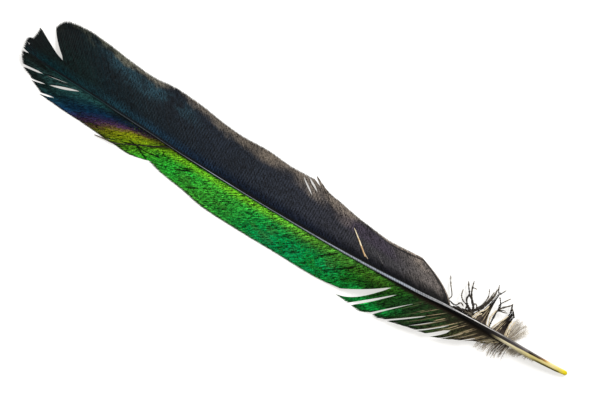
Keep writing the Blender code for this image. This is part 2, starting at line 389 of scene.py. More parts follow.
OUTER_VANE = Vane(
    side=Side.OUTER,
    leave=curve(
        (20, 48), (30, 44), (44.2, 38), (53.5, 43), (65, 43), (90, 38), (125, 33), (150, 27), (175, 22),
        (195, 15), (206, 8),
    ),
    reach=curve(
        (20, 10.0), (48, 13.0), (66, 14.6), (90, 13.4), (125, 12.4), (150, 9.6), (175, 8.8), (200, 8.6),
        (221, 6.0),
    ),
    locks=(
        lock_of(
            (24.3, 30.8, 6.2, 36), (27.1, 34.1, 7.2, 36), (29.2, 37.0, 9.0, 38),
            joined=0.5, habit=TORN, lift=-0.4, gap=0.6,
        ),
        lock_of(
            (29.2, 38.7, 9.5, 38), (32.7, 43.8, 11.8, 34), (36.2, 48.3, 13.8, 32),
            joined=0.5, habit=TORN, lift=1.2, gap=0.8,
        ),
        lock_of(
            (36.2, 50.0, 13.3, 38), (38.2, 52.9, 14.1, 30),
            joined=0.36, habit=FRAYED, lift=1.4, gap=0.5,
        ),
        lock_of(
            (38.2, 54.1, 14.1, 34), (41.4, 58.4, 15.2, 30), (44.2, 63.6, 16.7, 31),
            joined=0.36, habit=FRAYED, lift=1.4, gap=0.5,
        ),
        lock_of(
            (44.2, 64.8, 16.2, 36), (49.0, 67.1, 17.3, 40), (53.5, 69.1, 17.1, 47),
            joined=0.24, habit=LOOSE, lift=1.4,
        ),
        lock_of(
            (53.5, 69.9, 16.8, 45), (57.4, 73.4, 18.4, 40), (60.5, 77.2, 18.2, 36),
            joined=0.22, lift=1.2,
        ),
        lock_of((60.5, 78.5, 18.0, 40), (64.7, 83.9, 17.4, 4), joined=0.14, lift=0.8),
        lock_of(
            (64.7, 83.5, 15.1, 27), (74.8, 93.2, 16.1, 28), (91.1, 109.2, 15.9, 27),
            (107.8, 126.6, 15.7, 27), (121.0, 139.8, 15.1, 27), (129.4, 148.8, 13.4, 24),
            (138.4, 158.2, 12.0, 22), (143.3, 163.4, 10.6, 20),
            joined=0.65,
        ),
        lock_of(
            (143.3, 164.6, 11.1, 20), (148.8, 171.1, 12.3, 22), (154.4, 177.5, 11.9, 22),
            (156.1, 181.0, 12.2, 12), (156.9, 184.4, 12.5, 6),
            joined=0.80,
        ),
        lock_of(
            (156.9, 180.6, 11.9, 22), (160.6, 183.2, 11.6, 22), (166.9, 190.5, 11.1, 20),
            (172.8, 197.5, 10.8, 17), (178.0, 203.4, 10.3, 13), (181.5, 207.9, 9.9, 8),
            joined=0.76,
        ),
        lock_of(
            (181.5, 207.6, 9.3, 11), (184.6, 208.6, 8.8, 11), (187.1, 210.2, 8.1, 10),
            (190.2, 211.8, 7.4, 9), (192.6, 212.5, 7.2, 8, 20),
            joined=0.70,
        ),
        lock_of(
            (192.6, 212.9, 6.7, 5, 12), (194.2, 213.9, 6.0, 6), (195.6, 215.9, 5.3, 7),
            (197.0, 217.5, 4.6, 7),
            joined=0.58,
        ),
        lock_of((197.0, 217.9, 3.8, 6), (200.3, 219.4, 1.9, 4), (205.2, 220.3, -0.2, 0), joined=0.78),
    ),
    slits=(
        Slit(41.4, 0.42, 0.92, 0.36),
        Slit(79.0, 0.12, 0.74, 0.0, 0.3),
        Slit(87.8, 0.08, 0.48, 0.0, 0.3),
        Slit(101.0, 0.30, 0.55, 0.0, 0.2),
        Slit(130.5, 0.66, 0.86, 0.0, 0.2),
        Slit(141.0, 0.30, 0.62, 0.0, 0.3),
        Slit(142.7, 0.22, 0.48, 0.0, 0.3),
        Slit(156.9, 0.06, 1.3, 0.0, 0.4),
        Slit(192.6, 0.14, 0.68, 1.1, 0.0),
        Slit(195.2, 0.14, 0.52, 0.16, 0.0),
        Slit(197.0, 0.12, 0.64, 0.26, 0.0),
    ),
    creases=(
        Crease(((164.1, 10.6), (165.6, 9.8), (169.3, 8.1), (171.8, 8.0)), 0.35, 0.22),
        Crease(((160.0, 7.6), (162.8, 7.9), (165.5, 8.4), (169.3, 8.1)), 0.25, 0.2),
        Crease(((81.6, 3.3), (82.8, 3.8), (83.0, 5.4), (83.2, 6.5), (84.6, 7.6)), 0.15, 0.3),
    ),
)

INNER_VANE = Vane(
    side=Side.INNER,
    leave=curve((46, 40), (60, 42), (140, 42), (175, 40), (190, 28), (196, 22), (200, 14), (206, 6)),
    reach=curve(
        (20, 12.0), (48, 9.0), (62, 10.8), (85, 13.0), (110, 16.4), (150, 17.6), (178, 18.6), (205, 18.0),
        (221, 13.0),
    ),
    locks=(
        lock_of(
            (46.6, 64.3, -9.0, 18, 54), (56.3, 69.5, -8.7, 32), (64.0, 77.2, -8.3, 36),
            (69.5, 83.5, -8.9, 36), (75.8, 91.1, -9.8, 36), (82.4, 98.4, -11.2, 36),
            (87.6, 105.0, -12.5, 34), (89.0, 111.3, -15.3, 33),
            joined=0.78,
        ),
        lock_of(
            (89.0, 110.2, -13.4, 26), (93.2, 114.4, -13.3, 34), (101.9, 120.0, -13.2, 40),
            (110.9, 129.4, -13.9, 42), (121.4, 139.1, -13.6, 42), (129.7, 147.8, -14.3, 43),
            (138.7, 157.2, -15.6, 44), (148.8, 167.6, -16.3, 44), (159.3, 176.6, -15.6, 44),
            (167.9, 186.0, -16.4, 44), (176.3, 195.4, -17.5, 44), (183.6, 203.4, -18.1, 44),
            (188.1, 208.6, -17.7, 45), (191.6, 212.6, -16.5, 48), (195.4, 214.4, -13.3, 58),
            joined=0.43,
        ),
        lock_of(
            (195.4, 219.1, -10.4, 30), (197.5, 219.1, -7.6, 24), (199.6, 219.6, -5.9, 18),
            (201.7, 221.1, -5.0, 14), (203.8, 220.8, -2.8, 8), (205.2, 220.2, -0.9, 4),
            joined=0.78,
        ),
    ),
    slits=(
        Slit(91.4, 0.74, 0.97, 0.95),
        Slit(94.4, 0.66, 0.93, 0.75),
        Slit(203.2, 0.88, 0.94, 0.45),
    ),
)

FOOT_FLAMES = Vane(
    side=Side.INNER,
    leave=INNER_VANE.leave,
    reach=INNER_VANE.reach,
    locks=(
        lock_of(
            (25.5, 25.9, -7.2, 101, 76), (28.3, 26.5, -7.9, 98, 90), (31.0, 27.9, -9.2, 88, 110),
            joined=0, habit=FLAME, lift=0.5,
        ),
        lock_of(
            (32.6, 34.1, -12.0, 92, 60), (35.6, 34.4, -12.5, 92, 98), (38.9, 34.7, -12.2, 95, 120),
            joined=0, habit=FLAME, lift=0.8,
        ),
    ),
)


@dataclass
class Bundle:
    """Closed tubes that all have the same rings and sides.

    Args:
        places: points in an array of tubes by rings by sides by 3, in millimetres.
        marks: what a finish reads at each point, by name; each fits tubes by rings by sides.
    """

    places: Numbers
    marks: dict[str, Numbers] = field(default_factory=dict)

    @classmethod
    def along(cls, lines: Numbers, section: Numbers, marks: dict[str, Numbers]) -> Bundle:
        """Sweeps a flat section along lines.

        Args:
            lines: middle lines, in an array of tubes by rings by 3.
            section: offsets to the left and up, in an array that fits tubes by rings by sides by 2,
                counter-clockwise as seen against the line's direction.
            marks: what a finish reads at each point.

        Returns:
            The tubes.
        """
        ahead = np.gradient(lines, axis=1)
        ahead /= np.maximum(np.linalg.norm(ahead, axis=2, keepdims=True), 1e-9)
        left = np.cross((0.0, 0.0, 1.0), ahead)
        left /= np.maximum(np.linalg.norm(left, axis=2, keepdims=True), 1e-6)
        up = np.cross(ahead, left)
        places = lines[:, :, None] + left[:, :, None] * section[..., :1]
        return cls(places + up[:, :, None] * section[..., 1:], marks)

    def faces(self, first: int) -> tuple[list[list[int]], Numbers]:
        """The faces of all tubes, and their places on the bake map.

        Args:
            first: number of the bundle's first point in its mesh.

        Returns:
            Faces as lists of point numbers, and one (tube, share along) pair for each corner.
        """
        tubes, rings, sides, _ = self.places.shape
        number = first + np.arange(tubes * rings * sides).reshape(tubes, rings, sides)
        turned = np.roll(number, -1, axis=2)
        quads = np.stack([number[:, :-1], turned[:, :-1], turned[:, 1:], number[:, 1:]], -1)
        tube = np.arange(tubes)[:, None, None]
        ring = np.arange(rings - 1)[None, :, None]
        side = np.arange(sides)[None, None, :]
        across = np.stack([side, side + 1, side + 1, side], -1) / sides
        margin = 0.02
        spots = np.stack(np.broadcast_arrays(
            tube[..., None] + margin + (1 - 2 * margin) * across,
            (ring[..., None] + np.array([0, 0, 1, 1])) / (rings - 1),
        ), -1)
        foot = number[:, 0, ::-1]
        head = number[:, -1]
        middles = np.repeat(np.arange(tubes) + 0.5, sides)
        ends = [np.stack([middles, np.full(tubes * sides, end)], 1) for end in (0.0, 1.0)]
        faces = quads.reshape(-1, 4).tolist() + foot.tolist() + head.tolist()
        return faces, np.concatenate([spots.reshape(-1, 2), *ends])


def put_in_scene(name: str, data: bpy.types.ID) -> bpy.types.Object:
    """Makes an object from a mesh, a light or a camera, and puts it in the scene.

    Args:
        name: the object's name.
        data: what it shows.

    Returns:
        The object.
    """
    made = bpy.data.objects.new(name, data)
    bpy.context.scene.collection.objects.link(made)
    return made


@dataclass
class Piece:
    """One visible object of the feather, made from bundles of tubes.

    Args:
        name: its name.
        slot: its finish in the record; not used.
        bundles: its tubes.
        sharp_angle: angle from which an edge is shown sharp, in degrees.
    """

    name: str
    slot: Slot
    bundles: list[Bundle]
    sharp_angle: float = 62.0

    def build(self, finish: bpy.types.Material) -> bpy.types.Object:
        """Makes the mesh, dresses it and lets it stand for the solid.

        Args:
            finish: the piece's material.

        Returns:
            The new object.
        """
        faces, spots, first, tube = [], [], 0, 0
        for bundle in self.bundles:
            some, where = bundle.faces(first)
            faces.extend(some)
            spots.append(where + np.array([tube, 0]))
            first += bundle.places[..., 0].size
            tube += bundle.places.shape[0]
        mesh = bpy.data.meshes.new(self.name)
        points = np.concatenate([b.places.reshape(-1, 3) for b in self.bundles])
        mesh.from_pydata(self.to_frame(points).tolist(), [], faces)
        self.lay_bake_map(mesh, np.concatenate(spots) / np.array([tube, 1]))
        self.mark(mesh)
        mesh.shade_smooth()
        mesh.set_sharp_from_angle(angle=math.radians(self.sharp_angle))
        mesh.materials.append(finish)
        piece = put_in_scene(self.name, mesh)
        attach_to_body(piece, BODY)
        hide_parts(NODE)
        log.info("%s: %d faces", self.name, len(faces))
        return piece

    @staticmethod
    def to_frame(points: Numbers) -> Numbers:
        """Turns millimetres from the quill's tip into the frame's metres.

        Args:
            points: places in an array that ends in 3.

        Returns:
            The same places in the frame.
        """
        low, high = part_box(NODE)
        shift = np.array([low.x - QUILL_TIP_X * MM, high.y - WIDEST_Y * MM, 0.0])
        return points * MM + shift

    @staticmethod
    def lay_bake_map(mesh: bpy.types.Mesh, spots: Numbers) -> None:
        """Writes each corner's place on the bake map."""
        layer = mesh.uv_layers.new(name=BAKE_MAP)
        layer.uv.foreach_set("vector", spots.astype(np.float32).ravel())

    def mark(self, mesh: bpy.types.Mesh) -> None:
        """Writes what the finish reads at each point.

        Args:
            mesh: the piece's mesh.
        """
        for name in self.bundles[0].marks:
            values = [np.broadcast_to(b.marks[name], b.places.shape[:3]).ravel() for b in self.bundles]
            made = mesh.attributes.new(name, "FLOAT", "POINT")
            made.data.foreach_set("value", np.concatenate(values).astype(np.float32))


@dataclass
class Growth:
    """The barbs of one lock while they are laid.

    Args:
        lock: their lock.
        roots: their roots.
        shares: shares of a barb's length.
        plan: their points in the plan, in an array of barbs by shares by 2.
        ahead: their directions there.
        length: their lengths.
        chance: source of small differences.
        clump: the values of each barb's clump, by name.
    """

    lock: Lock
    roots: Numbers
    shares: Numbers
    plan: Numbers
    ahead: Numbers
    length: Numbers
    chance: np.random.Generator
    clump: dict[str, Numbers] = field(default_factory=dict)


@dataclass
class VanePiece:
    """The barbs of some of a vane's locks, each one a closed strip with a ridge and two wings.

    Args:
        name: the piece's name.
        slot: its finish in the record.
        vane: the vane that the locks belong to.
        span: first and last root that the piece holds.
        partner: the other vane, which its last lock holds to at the feather's tip.
        rings: sections along a barb.
        seed: where its chance differences start.
        crowding: power that draws the sections towards the tips.
        seam_reach: how far along the shaft a seam moves the barbs beside it.
        seam_opening: share of a barb's length over which a seam opens.
        slit_reach: how far along the shaft a slit moves the barbs beside it.
        sag_reach: how far along the shaft the barbs beside a slit have sunk.
        slit_shadow: place and breadth of the painted shadow line beside a slit.
        fold_reach: how far from its crease a fold fades away.
        lifts: spread of the clumps' heights: an even part, and one that the fray multiplies.
        pushes: the same for their shifts sideways.
        sway: spread of the single barbs' shifts sideways.
        stretch: spread of their lengths.
        unevenness: spread of their heights.
        drawn: share of the way by which a full fray draws a barb to its clump's middle.
        ridge_half: half the width of a barb's ridge.
        ridge_most: the most that the ridge takes of half the barb's width.
        wing_overlap: what the wings reach over the next barb.
        taper_length: length over which a barb runs to its point.
        clearance: least height of a barb's middle over the table.
        tints: step in tone from one barb to the next, and its spread.
        section: points round a barb: share of the wing's width, share of the ridge's, and rise.
        under_rise: rise below which a point is on the barb's underside.
    """

    name: str
    slot: Slot
    vane: Vane
    span: tuple[float, float]
    partner: Vane | None = None
    rings: int = 30
    seed: int = 1
    crowding: float = 0.94
    seam_reach: float = 1.6
    seam_opening: float = 0.14
    slit_reach: float = 1.6
    sag_reach: float = 2.2
    slit_shadow: tuple[float, float] = (0.27, 0.38)
    fold_reach: float = 3.0
    lifts: tuple[float, float] = (0.03, 0.25)
    pushes: tuple[float, float] = (0.012, 0.5)
    sway: float = 0.018
    stretch: float = 0.06
    unevenness: float = 0.012
    drawn: float = 0.999
    ridge_half: float = 0.055
    ridge_most: float = 0.4
    wing_overlap: float = 0.012
    taper_length: float = 1.3
    clearance: float = 0.16
    tints: tuple[float, float] = (0.3, 0.2)
    section: tuple[tuple[float, float, float], ...] = (
        (-1.0, 0.0, -0.035), (0.0, -1.0, 0.010), (0.0, 0.0, 0.060), (0.0, 1.0, 0.014),
        (1.0, 0.0, 0.035), (0.0, 0.8, -0.035), (0.0, 0.0, -0.120), (0.0, -0.8, -0.045),
    )
    under_rise: float = -0.034

    def build(self, finish: bpy.types.Material) -> bpy.types.Object:
        """Makes the piece from the barbs of every lock within its span.

        Args:
            finish: the piece's material.

        Returns:
            The new object.
        """
        bundles = []
        for number, lock in enumerate(self.vane.locks):
            roots = self.roots(lock)
            if len(roots):
                chance = np.random.default_rng(self.seed * 100 + number)
                bundles.append(self.barbs(number, roots, chance))
        return Piece(self.name, self.slot, bundles).build(finish)

    def roots(self, lock: Lock) -> Numbers:
        """Where a lock's barbs leave the shaft.

        Args:
            lock: the lock.

        Returns:
            Places along the shaft, of the barbs within the piece's span alone.
        """
        low, high = lock.span
        count = max(3, round((high - low) / lock.habit.pitch))
        places = low + (high - low) * (np.arange(count) + 0.5) / count
        return places[(places >= self.span[0]) & (places < self.span[1])]

    def seams(self, number: int, shares: Numbers) -> list[tuple[float, Numbers, Numbers]]:
        """How a lock's first and last barbs move to hold to its neighbours.

        Args:
            number: the lock's number in its vane.
            shares: shares of a barb's length.

        Returns:
            For each seam its root, the shift of the barb there, and how closed it is along the barb.
        """
        locks = self.vane.locks
        lock = locks[number]
        low, high = lock.span
        holds = []
        if number > 0:
            holds.append((low, self.vane, locks[number - 1], locks[number - 1]))
        if number < len(locks) - 1:
            holds.append((high, self.vane, locks[number + 1], lock))
        elif self.partner is not None:
            holds.append((high, self.partner, self.partner.locks[-1], lock))
        found = []
        for root, vane, other, holder in holds:
            own = self.vane.courses(lock, np.array([root]), shares)[0]
            across = vane.courses(other, np.array([root]), shares)[0]
            parting = smooth_step(shares, holder.joined, holder.joined + self.seam_opening)
            found.append((root, (across - own) / 2, 1 - holder.gap * parting))
        return found

    def barbs(self, number: int, roots: Numbers, chance: np.random.Generator) -> Bundle:
        """The barbs of one lock.

        Args:
            number: the lock's number in its vane.
            roots: the barbs' roots.
            chance: source of small differences.

        Returns:
            The barbs as closed tubes with their marks.
        """
        lock = self.vane.locks[number]
        shares = np.linspace(0, 1, self.rings) ** self.crowding
        nudge = lock.habit.pitch / 2
        plan = self.vane.courses(lock, roots, shares)
        for root, shift, closed in self.seams(number, shares):
            near = np.exp(-np.maximum(np.abs(roots - root) - nudge, 0) / self.seam_reach)
            plan = plan + near[:, None, None] * (closed[:, None] * shift)[None]
        beside = np.gradient(plan, axis=0)
        ahead = np.gradient(plan, axis=1)
        ahead /= np.linalg.norm(ahead, axis=2, keepdims=True)
        spacing = np.abs(ahead[..., 0] * beside[..., 1] - ahead[..., 1] * beside[..., 0])
        length = np.linalg.norm(np.diff(plan, axis=1), axis=2).sum(1)
        grown = Growth(lock, roots, shares, plan, ahead, length, chance)
        towards = self.clumps(grown)
        draw = lock.habit.fray * smooth_step(shares, lock.habit.start, 1.0)
        grown.plan = plan + (plan[towards] - plan) * draw[None, :, None] * self.drawn
        self.wander(grown)
        fall, shade = self.damage(grown)
        height = self.vane.height(grown.plan, shares, lock.lift) - fall
        uneven = chance.normal(0, self.unevenness, len(roots))[:, None]
        height = height + (grown.clump["lift"][:, None] * shares ** 2 + uneven)
        height = np.maximum(height, self.clearance)
        lines = np.concatenate([grown.plan, height[..., None]], 2)
        half = 0.5 * spacing * lock.habit.wings * (1 - draw[None, :]) + self.wing_overlap
        left = length[:, None] * (1 - shares)
        taper = np.sqrt(np.clip(left / self.taper_length, 0.004, 1))
        return Bundle.along(lines, self.sections(half * taper, taper), self.marks(grown, shade))

    def clumps(self, grown: Growth) -> Numbers:
        """Sorts barbs into clumps and notes the values of each barb's clump.

        Args:
            grown: the barbs.

        Returns:
            The number of the barb that each one draws towards.
        """
        habit, count, chance = grown.lock.habit, len(grown.roots), grown.chance
        middle, tone, lift, push, edge = (np.zeros(count) for _ in range(5))
        start = 0
        while start < count:
            end = min(count, start + int(chance.integers(*habit.clump)))
            middle[start:end] = (start + end - 1) / 2
            tone[start:end] = chance.uniform(0, 1)
            lift[start:end] = chance.normal(0, self.lifts[0] + self.lifts[1] * habit.fray)
            push[start:end] = chance.normal(0, self.pushes[0] + self.pushes[1] * habit.fray)
            edge[start] = 1.0
            start = end
        grown.clump = {"tone": tone, "lift": lift, "push": push, "edge": edge}
        return np.round(middle).astype(int)

    def wander(self, grown: Growth) -> None:
        """Moves the barbs a little sideways and lengthwise, more towards their tips.

        Args:
            grown: the barbs.
        """
        aside = np.stack([-grown.ahead[..., 1], grown.ahead[..., 0]], 2)
        count, chance = len(grown.roots), grown.chance
        sideways = (grown.clump["push"] + chance.normal(0, self.sway, count))[:, None] * grown.shares ** 3
        longer = chance.normal(0, self.stretch, count)[:, None] * grown.shares ** 4
        grown.plan = grown.plan + (aside * sideways[..., None] + grown.ahead * longer[..., None])

    def damage(self, grown: Growth) -> tuple[Numbers, Numbers]:
        """Opens the vane's slits, lays its creases and paints shade along both.

        Args:
            grown: the barbs.

        Returns:
            How far each point has fallen, and how much painted shade the slits and creases lay on it.
        """
        plan, side = grown.plan, self.vane.side.value
        tipward = side * np.stack([grown.ahead[..., 1], -grown.ahead[..., 0]], 2)
        fall = np.zeros(plan.shape[:2])
        shade = np.zeros(plan.shape[:2])
        for slit in self.vane.slits:
            away = grown.roots - slit.root
            t = np.clip((grown.shares - slit.start) / (slit.end - slit.start), 0, 1)
            open_to = np.sin(np.pi * t) ** 0.8
            near = np.exp(-np.abs(away) / self.slit_reach)
            shift = np.sign(away) * near * slit.width / 2
            plan = plan + tipward * (shift[:, None] * open_to[None, :])[..., None]
            sunk = slit.drop * np.where(away < 0, np.exp(away / self.sag_reach), 0)
            fall = fall + sunk[:, None] * open_to[None, :]
            # Painted shadow: a dark line along the barb beside each slit.
            beside = np.exp(-(((away - self.slit_shadow[0]) / self.slit_shadow[1]) ** 2))
            shade = np.maximum(shade, beside[:, None] * np.sqrt(open_to)[None, :])
        for crease in self.vane.creases:
            beyond, distance = self.from_line(plan, crease.line)
            inside = smooth_step(beyond, -crease.breadth, crease.breadth)
            fading = np.exp(-distance / self.fold_reach)
            fall = fall + crease.drop * inside * fading
            # Painted shadow: a dark line along each crease.
            shade = np.maximum(shade, 0.9 * np.exp(-((distance / (1.3 * crease.breadth)) ** 2)))
        grown.plan = plan
        return fall, shade

    @staticmethod
    def from_line(plan: Numbers, line: Sequence[tuple[float, float]]) -> tuple[Numbers, Numbers]:
        """Measures how far places are from a line of points.

        Args:
            plan: the places.
            line: the line's points.

        Returns:
            The distance past the line, to its left, and the plain distance to it.
        """
        best = np.full(plan.shape[:-1], 1e9)
        signed = np.full(plan.shape[:-1], -1e9)
        for a, b in zip(line, line[1:]):
            start, run = np.array(a), np.array(b) - np.array(a)
            offset = plan - start
            t = np.clip(offset @ run / (run @ run), 0, 1)
            gap = offset - t[..., None] * run
            distance = np.linalg.norm(gap, axis=-1)
            cross = run[0] * offset[..., 1] - run[1] * offset[..., 0]
            closer = distance < best
            signed = np.where(closer, np.sign(cross) * distance, signed)
            best = np.minimum(best, distance)
        return signed, best

    def sections(self, half: Numbers, taper: Numbers) -> Numbers:
        """A barb's section at each ring, as offsets to the left and up.

        Args:
            half: half the width of the wings.
            taper: share of the full size that is left towards the tip.

        Returns:
            An array of barbs by rings by points by 2.
        """
        ridge = np.minimum(self.ridge_half, half * self.ridge_most) * taper
        wing, rib, rise = np.array(self.section).T
        tipward = half[..., None] * wing + ridge[..., None] * rib
        up = rise * (0.25 + 0.75 * taper[..., None])
        left = -self.vane.side.value * tipward
        profile = np.stack(np.broadcast_arrays(left, up), -1)
        return profile if self.vane.side is Side.OUTER else profile[:, :, ::-1]

    def marks(self, grown: Growth, shade: Numbers) -> dict[str, Numbers]:
        """What the vane's finish reads: where each point is on its barb, and chance tones.

        Args:
            grown: the barbs.
            shade: the painted shade that the slits and creases lay on each point.

        Returns:
            The marks by name, each in an array that fits barbs by rings by points.
        """
        plan, roots, chance = grown.plan, grown.roots, grown.chance
        out = np.abs(plan[..., 1] - SHAFT_LINE.across.at(plan[..., 0]))
        step, spread = self.tints
        turns = np.where(np.arange(len(roots)) % 2 == 0, step, -step)
        tint = 0.5 + turns + chance.uniform(-spread, spread, len(roots))
        low, high = grown.lock.span
        rim = np.abs(2 * (roots - low) / (high - low) - 1)
        section = np.array(self.section if self.vane.side is Side.OUTER else self.section[::-1])
        return {
            "root": roots[:, None, None],
            "share": grown.shares[None, :, None],
            "out": out[..., None],
            "reach": (grown.length[:, None] * grown.shares)[..., None],
            "tint": tint[:, None, None],
            "tone": grown.clump["tone"][:, None, None],
            "edge": grown.clump["edge"][:, None, None],
            "rim": rim[:, None, None],
            "shade": shade[..., None],
            "pale": chance.uniform(0, 1, len(roots))[:, None, None],
            "under": (section[:, 2] < self.under_rise).astype(float)[None, None, :],
        }


@dataclass
class Shaft:
    """Quill and rachis: one smooth tube with a flattened back and a rounded, closed tip.

    Args:
        name: the piece's name.
        rings: sections along it.
        sides: points round a section.
        bunching: share by which the rings lie closer at the quill's tip.
        tip_rounding: length of the tip's rounding.
        flatness: how far the section's corners are drawn in.
        groove: depth of the groove underneath, as a share of half the depth.
        parting: how much darker the line of light is in its middle where it is double.
        parting_breadth: half the width of that dark middle.
        light_offset: where the line of light lies, sideways from the shaft's middle.
        light_breadth: half its width.
        light_strength: how bright it is.
    """

    name: str = "shaft"
    rings: int = 300
    sides: int = 64
    bunching: float = 0.25
    tip_rounding: float = 0.5
    flatness: float = 0.08
    groove: float = 0.18
    parting: float = 0.8
    parting_breadth: float = 0.11
    light_offset: SmoothCurve = curve(
        (24, -1.0), (28, -0.93), (32, -0.75), (36, -0.58), (45, -0.36), (50, -0.28), (55, -0.08), (60, 0.0),
        (65, 0.04), (75, 0.26), (90, 0.34), (110, 0.34), (120, 0.33), (130, 0.24), (142, 0.04), (150, 0.0),
        (207, 0.0),
    )
    light_breadth: SmoothCurve = curve(
        (24, 0.2), (34, 0.15), (42, 0.15), (47, 0.26), (55, 0.38), (80, 0.38), (100, 0.22), (120, 0.15),
        (140, 0.10), (150, 0.08), (207, 0.07),
    )
    light_strength: SmoothCurve = curve(
        (24, 0.2), (28, 0.55), (34, 1.0), (40, 1.3), (46, 1.1), (55, 0.85), (75, 0.85), (90, 0.95),
        (100, 0.98), (110, 0.88), (120, 0.86), (130, 0.92), (140, 0.98), (150, 0.5), (162, 0.32),
        (180, 0.22), (187, 0.0), (207, 0.0),
    )

    def build(self, finish: bpy.types.Material) -> bpy.types.Object:
        """Makes the shaft and marks its line of light.

        Args:
            finish: the shaft's material.

        Returns:
            The new object.
        """
        spread = np.linspace(0, 1, self.rings)
        along = SHAFT_LINE.end * (self.bunching * spread ** 2 + (1 - self.bunching) * spread)
        angle = 2 * np.pi * (np.arange(self.sides) + 0.5) / self.sides
        rounding = np.sqrt(np.clip(1 - (1 - along / self.tip_rounding).clip(0) ** 2, 0.01, 1))
        half_width = SHAFT_LINE.width.at(along) / 2 * rounding
        half_depth = SHAFT_LINE.depth.at(along) / 2 * rounding
        bulge = 1 - self.flatness * np.cos(2 * angle) ** 2
        left = half_width[:, None] * np.cos(angle) * bulge
        up = half_depth[:, None] * np.sin(angle) * bulge
        underneath = np.exp(-((angle - 1.5 * np.pi) / 0.4) ** 2)
        grooved = self.groove * half_depth * smooth_step(along, 40, 60)
        section = np.stack([left, up + grooved[:, None] * underneath], -1)[None]
        line = np.stack([along, SHAFT_LINE.across.at(along), SHAFT_LINE.height.at(along)], 1)[None]
        away = left - self.light_offset.at(along)[:, None]
        light = np.exp(-((away / self.light_breadth.at(along)[:, None]) ** 4))
        double = smooth_step(along, 42, 47) * (1 - smooth_step(along, 58, 64))
        middle = np.exp(-((away / self.parting_breadth) ** 2))
        light = light * (1 - self.parting * double[:, None] * middle)
        light = light * self.light_strength.at(along)[:, None] * (np.sin(angle) > 0)
        marks = {
            "along": along[None, :, None],
            "around": np.cos(angle)[None, None, :],
            "light": light[None],
        }
        tube = Bundle.along(line, section, marks)
        return Piece(self.name, Slot.SHAFT, [tube], sharp_angle=80.0).build(finish)


@dataclass(frozen=True)
class Strand:
    """A broken barb that lies by itself.

    Args:
        route: its points, from its root: x, y and height.
        thick: its thickness at the root.
        thin: its thickness at the tip.
        pale: how light it is, from 0 to 1.
        fringe: length of the stubs along it.
    """

    route: tuple[tuple[float, float, float], ...]
    thick: float
    thin: float
    pale: float
    fringe: float

    def line(self, rings: int) -> Numbers:
        """Lays the barb's middle line.

        Args:
            rings: number of points.

        Returns:
            Evenly spaced points on a smooth curve through the route.
        """
        route = np.array(self.route, float)
        steps = np.concatenate([[0], np.cumsum(np.linalg.norm(np.diff(route, axis=0), axis=1))])
        places = np.linspace(0, steps[-1], rings)
        curves = [SmoothCurve(tuple(zip(steps, route[:, k]))).at(places) for k in range(3)]
        return np.stack(curves, 1)


